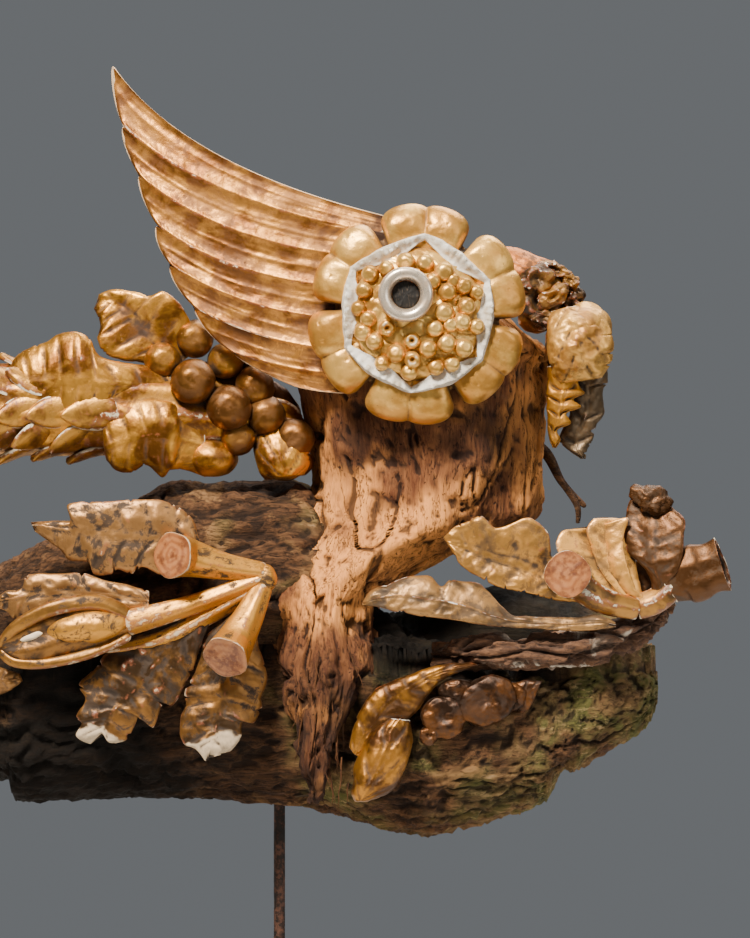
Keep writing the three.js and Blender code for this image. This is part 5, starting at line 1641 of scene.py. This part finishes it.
def rod():
    """The iron bar: round, lightly hammered and pitted by rust."""
    carving = Carving()
    up = (np.linspace(ROD_FOOT, ROD_TOP, 240) - SEAT_HEIGHT)[:, None]
    turn = round_angles(36)[None, :]
    p = np.stack([ROD_RADIUS * np.cos(turn) + 0 * up, ROD_RADIUS * np.sin(turn) + 0 * up, up + 0 * turn], -1)
    flat = p.reshape(-1, 3)
    out = flat * [1, 1, 0] / ROD_RADIUS
    flat -= out * (0.14 * np.clip(rough(flat, (5, 5, 9), 161, 3), -0.3, 1))[:, None]
    carving.skin(flat.reshape(p.shape), edge=0, sunk=0, tint=0)
    return carving.object("iron_rod")


def foot():
    """The iron foot: a flat plate with eased edges."""
    carving = Carving()
    side = round_angles(160)
    across = squared_off(np.cos(side), 0.09) * FOOT_HALF_WIDTH
    deep = squared_off(np.sin(side), 0.09) * FOOT_HALF_DEPTH
    profile = [(0.03, 0), (0.5, 0), (0.97, 0), (0.985, 0.4), (0.996, 1.6), (1, 3.2), (1, 7), (1, 10.8)]
    profile += [(0.996, 12.6), (0.985, 13.7), (0.97, FOOT_THICKNESS)]
    profile += [(share, FOOT_THICKNESS) for share in np.linspace(0.9, 0.05, 22)]
    level = np.ones(len(side))
    rings = np.array([np.stack([across * k, deep * k, level * (z - SEAT_HEIGHT)], -1) for k, z in profile])
    flat = rings.reshape(-1, 3)
    top = flat[:, 2] > 1 - SEAT_HEIGHT
    flat[:, 2] -= 0.12 * top * np.clip(rough(flat, 22, 163, 3), 0, 1)
    carving.skin(flat.reshape(rings.shape), edge=0, sunk=0, tint=0)
    return carving.object("iron_foot")


# Finishes
def feed(tree, node, values):
    """Links or sets a node's inputs."""
    for key, value in values.items():
        if isinstance(value, bpy.types.NodeSocket):
            tree.links.new(value, node.inputs[key])
        else:
            node.inputs[key].default_value = value


def add(tree, kind, feeds=None, **settings):
    """One node, with its settings, and each of its inputs linked or set."""
    made = tree.nodes.new(kind)
    for key, value in settings.items():
        setattr(made, key, value)
    feed(tree, made, feeds or {})
    return made


def sums(tree, operation, *values, clamp=False):
    feeds = dict(enumerate(values))
    return add(tree, "ShaderNodeMath", feeds, operation=operation, use_clamp=clamp).outputs[0]


def times(tree, first, second):
    return sums(tree, "MULTIPLY", first, second)


def plus(tree, first, second, clamp=False):
    return sums(tree, "ADD", first, second, clamp=clamp)


def minus(tree, first, second, clamp=False):
    return sums(tree, "SUBTRACT", first, second, clamp=clamp)


def most(tree, first, second, clamp=False):
    return sums(tree, "MAXIMUM", first, second, clamp=clamp)


def blend_of(tree, share, first, second):
    return add(tree, "ShaderNodeMix", {0: share, 6: first, 7: second}, data_type="RGBA").outputs[2]


def vector_sum(tree, operation, first, second):
    return add(tree, "ShaderNodeVectorMath", {0: first, 1: second}, operation=operation).outputs[0]


def between(tree, value, low, high, to_low=0.0, to_high=1.0):
    feeds = {"Value": value, "From Min": low, "From Max": high, "To Min": to_low, "To Max": to_high}
    return add(tree, "ShaderNodeMapRange", feeds, interpolation_type="SMOOTHSTEP").outputs[0]


def graded(tree, value, low, high, first, second):
    """One colour, giving way to another as a value rises."""
    return blend_of(tree, between(tree, value, low, high), first, second)


def mark_of(tree, name):
    return add(tree, "ShaderNodeAttribute", attribute_name=name).outputs["Fac"]


def grain_noise(tree, vector, scale, detail=4.0, rough_by=0.6, warp=0.0):
    feeds = {"Vector": vector, "Scale": scale, "Detail": detail, "Roughness": rough_by, "Distortion": warp}
    return add(tree, "ShaderNodeTexNoise", feeds).outputs["Fac"]


def colour(r, g, b):
    """A colour given as it looks on a screen, 0 to 255."""
    shares = [v / 255 for v in (r, g, b)]
    return tuple(((v + 0.055) / 1.055) ** 2.4 if v > 0.04045 else v / 12.92 for v in shares) + (1.0,)


def group_of(name, takes, gives):
    group = bpy.data.node_groups.new(name, "ShaderNodeTree")
    for label, value in takes.items():
        kind = "NodeSocketVector" if isinstance(value, tuple) else "NodeSocketFloat"
        group.interface.new_socket(label, in_out="INPUT", socket_type=kind).default_value = value
    for label in gives:
        group.interface.new_socket(label, in_out="OUTPUT", socket_type="NodeSocketFloat")
    start, end = group.nodes.new("NodeGroupInput"), group.nodes.new("NodeGroupOutput")
    return group, start.outputs, end.inputs


def gilding_wear_group():
    """Where gilding is rubbed to its white ground or red clay, where dirt and painted shade lie, and its fine
    relief.
    """
    takes = {"Grain": 220.0, "Rub": 1.0, "Grime": 1.0}
    group, start, end = group_of(
        "gilding_wear", takes, ["Ground", "Clay", "Dirt", "Relief", "Patch", "Mottle"],
    )
    here = add(group, "ShaderNodeTexCoord").outputs["Object"]
    fine = grain_noise(group, here, start["Grain"], 6, 0.7)
    large = grain_noise(group, here, 38.0, 4, 0.6, 0.4)
    spots = grain_noise(group, here, 420.0, 3, 0.6)
    edge, sunk = mark_of(group, "edge"), mark_of(group, "sunk")
    hollow, shut = mark_of(group, "hollow"), mark_of(group, "shut")
    proud = times(group, most(group, times(group, hollow, -1.0), 0.0), 0.9)
    open_edge = plus(group, edge, proud)
    chance = plus(group, times(group, fine, 0.9), times(group, large, 0.7))
    rub = times(group, times(group, open_edge, start["Rub"]), 0.62)
    worn = plus(group, rub, chance)
    ground = between(group, worn, 1.28, 1.4)
    clay = minus(group, between(group, worn, 1.1, 1.28), ground, clamp=True)
    # Hollows, the solids' occlusion and the sunk mark darken the gilding: painted shade, with the dirt that
    # gathers there. The random patches and specks below are real dirt.
    deep = times(group, most(group, hollow, 0.0), 1.15)
    closed = plus(group, times(group, shut, 1.15), times(group, sunk, 0.42))
    grime_and_shade = times(group, plus(group, deep, closed), start["Grime"])
    grime_and_shade = plus(group, grime_and_shade, times(group, minus(group, chance, 0.8), 0.75))
    dirt_and_shade = between(group, grime_and_shade, 0.12, 0.95)
    specks = between(group, spots, 0.66, 0.74)
    dirt_and_shade = most(group, dirt_and_shade, times(group, specks, 0.65), clamp=True)
    relief = plus(group, times(group, fine, 0.7), times(group, specks, -0.4))
    relief = plus(group, relief, times(group, ground, -0.5))
    relief = plus(group, relief, grain_noise(group, here, 90.0, 5, 0.6))
    cloud = grain_noise(group, here, 48.0, 10, 0.78, 0.6)
    mottle = between(group, plus(group, cloud, times(group, open_edge, -0.2)), 0.45, 0.53)
    values = (ground, clay, dirt_and_shade, relief, large, mottle)
    for label, value in zip(("Ground", "Clay", "Dirt", "Relief", "Patch", "Mottle"), values):
        group.links.new(value, end[label])
    return group


def wood_fibre_group():
    """Fibres, splits and worm holes of old wood, stretched along the grain."""
    takes = {"Along": (1.0, 1.0, 1.0), "Fineness": 1.0}
    group, start, end = group_of("wood_fibre", takes, ["Fibre", "Split", "Hole", "Patch"])
    here = add(group, "ShaderNodeTexCoord").outputs["Object"]
    wander = add(group, "ShaderNodeTexNoise", {"Vector": here, "Scale": 22.0, "Detail": 2.0}).outputs["Color"]
    pushed = vector_sum(group, "MULTIPLY", wander, (0.012, 0.012, 0.012))
    moved = vector_sum(group, "ADD", here, pushed)
    drawn = vector_sum(group, "MULTIPLY", moved, start["Along"])
    size = start["Fineness"]
    fibre = grain_noise(group, drawn, times(group, size, 420.0), 8, 0.75)
    coarse = grain_noise(group, drawn, times(group, size, 120.0), 5, 0.65)
    split = between(group, sums(group, "ABSOLUTE", minus(group, coarse, 0.5)), 0.011, 0.0)
    hole = between(group, grain_noise(group, here, 260.0, 3, 0.5), 0.68, 0.74)
    whole = plus(group, times(group, fibre, 0.65), times(group, coarse, 0.35))
    patch = grain_noise(group, here, 30.0, 5, 0.65, 0.6)
    for label, value in (("Fibre", whole), ("Split", split), ("Hole", hole), ("Patch", patch)):
        group.links.new(value, end[label])
    return group


WEAR = gilding_wear_group()
FIBRE = wood_fibre_group()


def open_material(name):
    material = bpy.data.materials.new(name)
    material.use_nodes = True
    tree = material.node_tree
    return material, tree, tree.nodes["Principled BSDF"]


def placed(tree, group, **values):
    """The outputs of a shared group, placed with its own values."""
    return add(tree, "ShaderNodeGroup", values, node_tree=group).outputs


def bumped(tree, shader, height, strength=0.5, depth=0.0006):
    bump = add(tree, "ShaderNodeBump", {"Height": height, "Strength": strength, "Distance": depth})
    tree.links.new(bump.outputs[0], shader.inputs["Normal"])


def gilded(
    name, light, deep, grime_and_shade=(44, 30, 20), ground=(214, 205, 188), clay=(128, 66, 36), other=None, third=None,
    metal=0.85, shine=0.4, grain=220.0, rub=1.0, dirt_shade_amount=1.0, cut=False, patina=0.5,
):
    """Gilding over clay and a white ground, rubbed, chipped and dirty, with painted shade in its hollows and
    recesses.

    light and deep are the gold's own colours. other and third are those of the leaves that the tint
    marks with 1 and with 2 or nearly so, and cut gives sawn wood where it is 2 or more.
    """
    material, tree, shader = open_material(name)
    wear = placed(tree, WEAR, Grain=grain, Rub=rub, Grime=dirt_shade_amount)
    base = graded(tree, wear["Patch"], 0.4, 0.6, colour(*light), colour(*deep))
    metallic = times(tree, minus(tree, 1.0, wear["Dirt"], clamp=True), metal)
    if other is not None:
        tint = between(tree, mark_of(tree, "tint"), 0.3, 0.9)
        limit = sums(tree, "LESS_THAN", mark_of(tree, "tint"), 1.5)
        base = blend_of(tree, times(tree, tint, limit), base, colour(*other))
    if third is not None:
        base = blend_of(tree, sums(tree, "GREATER_THAN", mark_of(tree, "tint"), 1.5), base, colour(*third))
    tarnish = colour(*(0.55 * d + 0.45 * v for d, v in zip(deep, grime_and_shade)))
    dull = times(tree, wear["Mottle"], patina)
    base = blend_of(tree, dull, base, tarnish)
    metallic = times(tree, metallic, minus(tree, 1.0, times(tree, dull, 0.75)))
    base = blend_of(tree, times(tree, wear["Clay"], 0.75), base, colour(*clay))
    chipped = times(tree, mark_of(tree, "bare"), between(tree, wear["Patch"], 0.38, 0.46))
    bare = most(tree, wear["Ground"], chipped)
    aged = graded(tree, wear["Relief"], 0.75, 1.25, colour(*ground), colour(*(0.72 * v for v in ground)))
    base = blend_of(tree, bare, base, aged)
    # Dirt and painted shade darken the colour here.
    base = blend_of(tree, times(tree, wear["Dirt"], 0.93), base, colour(*grime_and_shade))
    metallic = times(tree, metallic, minus(tree, 1.0, plus(tree, bare, wear["Clay"]), clamp=True))
    if cut:
        mark = mark_of(tree, "tint")
        disc = between(tree, mark, 1.7, 1.95)
        wavy = plus(tree, mark, times(tree, wear["Patch"], 1.2))
        rings = sums(tree, "SINE", times(tree, wavy, 17.0))
        wood = graded(tree, rings, -1.6, 1.0, colour(140, 82, 44), colour(168, 108, 62))
        wood = graded(tree, wear["Relief"], 0.78, 1.05, wood, colour(104, 56, 30))
        wood = blend_of(tree, sums(tree, "GREATER_THAN", mark, 3.5), wood, colour(226, 204, 172))
        base = blend_of(tree, disc, base, wood)
        metallic = times(tree, metallic, minus(tree, 1.0, disc))
    gloss = plus(tree, shine, times(tree, wear["Dirt"], 0.4))
    gloss = plus(tree, gloss, times(tree, dull, 0.3))
    gloss = plus(tree, gloss, times(tree, bare, 0.4), clamp=True)
    feed(tree, shader, {"Base Color": base, "Metallic": metallic, "Roughness": gloss})
    bumped(tree, shader, wear["Relief"], 0.6, 0.0007)
    return material


def bark_finish():
    """Dark bark, with moss and grey decay where the mark says, dark in its splits, and near black with
    painted shade in its hollows and where the logs' shade mark says.
    """
    material, tree, shader = open_material("old_bark")
    wood = placed(tree, FIBRE, Along=(0.16, 1.0, 1.0), Fineness=1.0)
    hollow = most(tree, mark_of(tree, "hollow"), 0.0)
    moss = mark_of(tree, "tint")
    dark = graded(tree, wood["Fibre"], 0.38, 0.66, colour(44, 30, 20), colour(112, 76, 48))
    dark = graded(tree, wood["Patch"], 0.56, 0.66, dark, colour(134, 98, 62))
    grey = graded(tree, wood["Patch"], 0.4, 0.6, colour(128, 100, 62), colour(88, 84, 42))
    grey = graded(tree, wood["Fibre"], 0.5, 0.66, grey, colour(168, 140, 98))
    base = blend_of(tree, times(tree, moss, between(tree, wood["Patch"], 0.25, 0.6)), dark, grey)
    # Painted shade in hollows, recesses and where other pieces close it in, with the real dark of the splits.
    deep = plus(tree, times(tree, hollow, 0.7), times(tree, mark_of(tree, "sunk"), 0.55))
    deep = plus(tree, deep, times(tree, mark_of(tree, "shut"), 0.5))
    deep = most(tree, deep, times(tree, wood["Split"], 0.7), clamp=True)
    base = blend_of(tree, times(tree, deep, 0.8), base, colour(24, 16, 12))
    # Painted shade, near black, where the bare mark says.
    base = blend_of(tree, mark_of(tree, "bare"), base, colour(12, 8, 4))
    feed(tree, shader, {"Base Color": base, "Roughness": 0.92, "Specular IOR Level": 0.25})
    height = plus(tree, times(tree, wood["Fibre"], 1.6), times(tree, wood["Split"], -0.8))
    bumped(tree, shader, height, 0.9, 0.0018)
    return material


def trunk_finish():
    """Weathered red-brown wood, paler where it broke lately, dark in its splits and holes, with painted shade
    in its hollows and where the trunk's shade mark says.
    """
    material, tree, shader = open_material("rotten_wood")
    wood = placed(tree, FIBRE, Along=(1.0, 1.0, 0.13), Fineness=1.0)
    base = graded(tree, wood["Fibre"], 0.36, 0.64, colour(88, 46, 25), colour(150, 96, 56))
    base = graded(tree, wood["Patch"], 0.56, 0.72, base, colour(122, 84, 54))
    fresh = times(tree, mark_of(tree, "tint"), between(tree, wood["Fibre"], 0.24, 0.52))
    base = blend_of(tree, times(tree, fresh, 0.94), base, colour(238, 158, 82))
    # Painted shade in hollows, recesses and where other pieces close it in, with the real dark of splits and
    # worm holes.
    hollow = most(tree, mark_of(tree, "hollow"), 0.0)
    deep = plus(tree, times(tree, hollow, 0.75), times(tree, mark_of(tree, "sunk"), 0.45))
    deep = plus(tree, deep, times(tree, mark_of(tree, "shut"), 0.5))
    deep = most(tree, deep, most(tree, wood["Split"], wood["Hole"]), clamp=True)
    base = blend_of(tree, times(tree, deep, 0.85), base, colour(34, 20, 14))
    # Painted shade and painted shadows where the bare mark says.
    base = blend_of(tree, mark_of(tree, "bare"), base, colour(30, 15, 9))
    feed(tree, shader, {"Base Color": base, "Roughness": 0.88, "Specular IOR Level": 0.3})
    height = plus(tree, times(tree, wood["Fibre"], 1.5), times(tree, wood["Split"], -0.9))
    height = plus(tree, height, times(tree, wood["Hole"], -1.2))
    bumped(tree, shader, height, 0.9, 0.0016)
    return material


def ledge_finish():
    """The broken branch: dark red-brown fibres, nearly black breaks and hollows, their dark partly painted
    shade, and a few pale spots.
    """
    material, tree, shader = open_material("broken_branch")
    wood = placed(tree, FIBRE, Along=(0.14, 1.0, 1.0), Fineness=1.2)
    base = graded(tree, wood["Fibre"], 0.36, 0.66, colour(58, 36, 24), colour(128, 88, 58))
    spots = times(tree, mark_of(tree, "tint"), between(tree, wood["Patch"], 0.5, 0.58))
    base = blend_of(tree, times(tree, spots, 0.85), base, colour(206, 192, 172))
    # Painted shade in hollows and breaks, with the real dark of the splits.
    hollow = most(tree, mark_of(tree, "hollow"), 0.0)
    deep = plus(tree, times(tree, hollow, 0.8), times(tree, mark_of(tree, "sunk"), 0.5))
    deep = most(tree, deep, wood["Split"], clamp=True)
    base = blend_of(tree, times(tree, deep, 0.85), base, colour(26, 16, 11))
    feed(tree, shader, {"Base Color": base, "Roughness": 0.9})
    bumped(tree, shader, times(tree, wood["Fibre"], 1.5), 0.9, 0.0014)
    return material


def iron_finish():
    """Dark iron with a skin of brown rust."""
    material, tree, shader = open_material("rusty_iron")
    here = add(tree, "ShaderNodeTexCoord").outputs["Object"]
    fine, large = grain_noise(tree, here, 300.0, 6, 0.7), grain_noise(tree, here, 45.0, 5, 0.65)
    rust = between(tree, plus(tree, fine, large), 0.9, 1.2)
    base = blend_of(tree, rust, colour(46, 42, 40), colour(92, 56, 38))
    metallic = between(tree, rust, 0.0, 1.0, 0.8, 0.15)
    gloss = between(tree, fine, 0.3, 0.7, 0.5, 0.8)
    feed(tree, shader, {"Base Color": base, "Metallic": metallic, "Roughness": gloss})
    bumped(tree, shader, fine, 0.6, 0.0004)
    return material


def steel_finish():
    """Polished grey metal, faintly clouded and scratched; its pale warm colour is partly painted reflection
    of the gold round it.
    """
    material, tree, shader = open_material("polished_ring")
    here = add(tree, "ShaderNodeTexCoord").outputs["Object"]
    cloud = grain_noise(tree, here, 130.0, 5, 0.7)
    # The pale warm colour is partly painted reflection of the gold round the ring.
    base = graded(tree, cloud, 0.4, 0.75, colour(236, 218, 196), colour(190, 164, 136))
    gloss = between(tree, cloud, 0.3, 0.7, 0.2, 0.46)
    feed(tree, shader, {"Base Color": base, "Metallic": 0.75, "Roughness": gloss})
    bumped(tree, shader, cloud, 0.2, 0.0003)
    return material


def pupil_finish():
    """Black-brown fibres, the lighter ones partly painted glints."""
    material, tree, shader = open_material("dark_fibre")
    here = add(tree, "ShaderNodeTexCoord").outputs["Object"]
    drawn = vector_sum(tree, "MULTIPLY", here, (1.0, 1.0, 0.25))
    fibre = grain_noise(tree, drawn, 900.0, 5, 0.7)
    # The lighter fibres are partly painted glints.
    base = graded(tree, fibre, 0.5, 0.75, colour(16, 13, 12), colour(84, 70, 56))
    feed(tree, shader, {"Base Color": base, "Roughness": 0.85})
    bumped(tree, shader, fibre, 0.8, 0.0006)
    return material


WING_GOLD = gilded(
    "wing_gold", (208, 143, 66), (128, 78, 32), ground=(228, 196, 160), grime_and_shade=(48, 28, 15), rub=0.62,
    dirt_shade_amount=0.85, shine=0.4, metal=0.8,
)
PETAL_GOLD = gilded(
    "petal_gold", (238, 184, 92), (196, 138, 58), ground=(216, 190, 150), grime_and_shade=(66, 42, 22), rub=0.35,
    dirt_shade_amount=0.7, shine=0.34, metal=0.65, patina=0.16,
)
COLLAR_GROUND = gilded(
    "collar_ground", (226, 220, 208), (196, 188, 174), ground=(240, 236, 226), clay=(176, 158, 128),
    grime_and_shade=(96, 84, 70), metal=0.0, shine=0.6, rub=0.5, dirt_shade_amount=0.4, patina=0.1,
)
BERRY_GOLD = gilded(
    "berry_gold", (242, 194, 104), (196, 142, 62), grime_and_shade=(84, 52, 24), rub=0.3, dirt_shade_amount=0.5, shine=0.3,
    metal=0.7, patina=0.15,
)
# The third colour, near black-brown, is painted shade, for the bed between the grapes.
GARLAND_GOLD = gilded(
    "garland_gold", (218, 154, 60), (118, 72, 24), other=(112, 72, 32), third=(60, 38, 20),
    ground=(212, 196, 166), grime_and_shade=(46, 28, 14), rub=0.65, dirt_shade_amount=0.9, shine=0.36, metal=0.85,
)
LAUREL_GOLD = gilded(
    "laurel_gold", (206, 148, 64), (116, 74, 28), ground=(220, 206, 180), grime_and_shade=(44, 26, 14), rub=0.75,
    dirt_shade_amount=0.85, shine=0.38, metal=0.8,
)
LEFT_BRONZE = gilded(
    "left_bronze", (140, 96, 46), (68, 48, 28), other=(214, 150, 60), third=(164, 118, 68), patina=0.95,
    ground=(196, 172, 140), grime_and_shade=(36, 25, 17), rub=0.75, dirt_shade_amount=1.0, shine=0.4, metal=0.75, cut=True,
)
RIGHT_BRONZE = gilded(
    "right_bronze", (172, 122, 58), (90, 64, 34), other=(238, 172, 84), third=(86, 54, 26), patina=0.65,
    ground=(218, 206, 180), grime_and_shade=(40, 28, 18), rub=0.75, dirt_shade_amount=0.95, shine=0.4, metal=0.75, cut=True,
)
LIP_BRONZE = gilded(
    "lip_bronze", (168, 124, 72), (92, 70, 46), patina=0.8, ground=(226, 220, 204), grime_and_shade=(42, 31, 23),
    rub=0.95, dirt_shade_amount=0.8, shine=0.42, metal=0.65,
)
CROWN_BRONZE = gilded(
    "crown_bronze", (150, 106, 46), (58, 40, 22), other=(190, 108, 40), patina=0.7,
    ground=(224, 218, 202), grime_and_shade=(30, 22, 16), rub=0.95, dirt_shade_amount=1.0, shine=0.48, metal=0.55,
)
SNOUT_GOLD = gilded(
    "snout_gold", (236, 178, 88), (176, 122, 54), other=(196, 134, 44), third=(110, 90, 66),
    ground=(214, 204, 182), grime_and_shade=(52, 38, 24), rub=0.6, dirt_shade_amount=0.9, shine=0.42, metal=0.6,
)
BUD_GOLD = gilded("bud_gold", (180, 122, 48), (84, 52, 22), rub=0.6, dirt_shade_amount=0.9, shine=0.36, metal=0.8)
CLOVER_BRONZE = gilded(
    "clover_bronze", (102, 62, 28), (48, 30, 17), rub=0.65, dirt_shade_amount=0.95, shine=0.38, metal=0.75,
)
SIDE_BRONZE = gilded("side_bronze", (164, 116, 62), (100, 70, 40), rub=0.7, dirt_shade_amount=0.9, shine=0.42, metal=0.65)
BARK = bark_finish()
ROTTEN = trunk_finish()
BROKEN_BRANCH = ledge_finish()
IRON = iron_finish()
STEEL = steel_finish()
FIBROUS = pupil_finish()


def dressed(obj, finish, slot, *nodes, rays=7):
    """Gives a piece its finish and its place in the frame, and hides the solid it stands for."""
    if finish is not None:
        obj.data.materials.clear()
        obj.data.materials.append(finish)
    shade_marks(obj, rays)
    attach(obj, "root")
    if nodes:
        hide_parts(*nodes)
    return obj


dressed(jaw_log(), BARK, "bark", "jaw_log", rays=4)
dressed(ledge(), BROKEN_BRANCH, "bark", rays=4)
dressed(head_trunk(), ROTTEN, "trunk_wood", "head_trunk", rays=4)
dressed(wing(), WING_GOLD, "wing_gold", "wing_fin")
dressed(petals(), PETAL_GOLD, "satin_gold", "rosette")
dressed(folded_collar(), COLLAR_GROUND, "satin_gold")
dressed(berry_dome(), BERRY_GOLD, "satin_gold")
dressed(berries(BERRY_GOLD), None, "satin_gold")
dressed(eye_ring(), STEEL, "polished_steel", "eye_ring")
dressed(pupil(), FIBROUS, "pupil_black", "eye_pupil")
dressed(garland(), GARLAND_GOLD, "burnished_gold", "garland")
dressed(laurels(LAUREL_GOLD), None, "burnished_gold")
dressed(left_spray(), LEFT_BRONZE, "aged_gold", "leaf_spray_left")
dressed(right_spray(), RIGHT_BRONZE, "aged_gold", "leaf_spray_right")
dressed(lip_leaf(), LIP_BRONZE, "aged_gold", "lip_leaf")
dressed(crown_scroll(), CROWN_BRONZE, "aged_gold", "crown_scroll")
dressed(snout_leaves(), SNOUT_GOLD, "satin_gold", "snout_leaves")
dressed(bud_sprig(), BUD_GOLD, "satin_gold", "bud_sprig")
dressed(clover(), CLOVER_BRONZE, "aged_gold", "clover_lobes")
dressed(side_leaf(), SIDE_BRONZE, "aged_gold", "side_leaf")
dressed(twig(), BARK, "bark", "twig")
dressed(rod(), IRON, "iron", "rod", rays=2)
dressed(foot(), IRON, "iron", "foot_plate", rays=2)


# The floor, the light and the camera
def studio():
    data = bpy.data.cameras.new("front_camera")
    data.lens = 200
    data.sensor_width = 36
    data.clip_end = 60
    camera = linked("front_camera", data)
    camera.location = (0.068, -3.708, 0.404)
    camera.rotation_euler = (math.pi / 2, 0, 0)
    bpy.context.scene.camera = camera
    lamps = (
        ("key", (-0.7, -1.75, 2.4), 0.6, 225, (1.0, 0.93, 0.82)),
        ("fill", (1.9, -1.7, 1.1), 1.5, 20, (0.94, 0.97, 1.0)),
        ("top", (0.5, 0.7, 2.0), 1.4, 50, (1.0, 0.98, 0.95)),
    )
    for name, place, size, power, tone in lamps:
        light = bpy.data.lights.new(name, "AREA")
        light.size, light.energy, light.color = size, power, tone
        lamp = linked(name, light)
        lamp.location = place
        aim = Vector((0.05, -0.05, 0.4)) - Vector(place)
        lamp.rotation_euler = aim.to_track_quat("-Z", "Y").to_euler()
    world = bpy.data.worlds.new("plain_grey")
    world.use_nodes = True
    tree = world.node_tree
    seen = add(tree, "ShaderNodeBackground", {"Color": colour(105, 108, 111), "Strength": 1.0})
    soft = add(tree, "ShaderNodeBackground", {"Color": (1.0, 0.99, 0.97, 1.0), "Strength": 0.12})
    path = tree.nodes.new("ShaderNodeLightPath")
    both = tree.nodes.new("ShaderNodeMixShader")
    tree.links.new(path.outputs["Is Camera Ray"], both.inputs[0])
    tree.links.new(soft.outputs[0], both.inputs[1])
    tree.links.new(seen.outputs[0], both.inputs[2])
    tree.links.new(both.outputs[0], tree.nodes["World Output"].inputs["Surface"])
    bpy.context.scene.world = world
    rim = [(0.7 * math.cos(a), 0.7 * math.sin(a), 0.0) for a in round_angles(96)]
    mesh = bpy.data.meshes.new("floor")
    mesh.from_pydata(rim, [], [list(range(len(rim)))])
    floor = linked("floor", mesh)
    material, _, shader = open_material("pale_floor")
    shader.inputs["Base Color"].default_value = (0.62, 0.62, 0.61, 1)
    shader.inputs["Roughness"].default_value = 0.8
    mesh.materials.append(material)


studio()
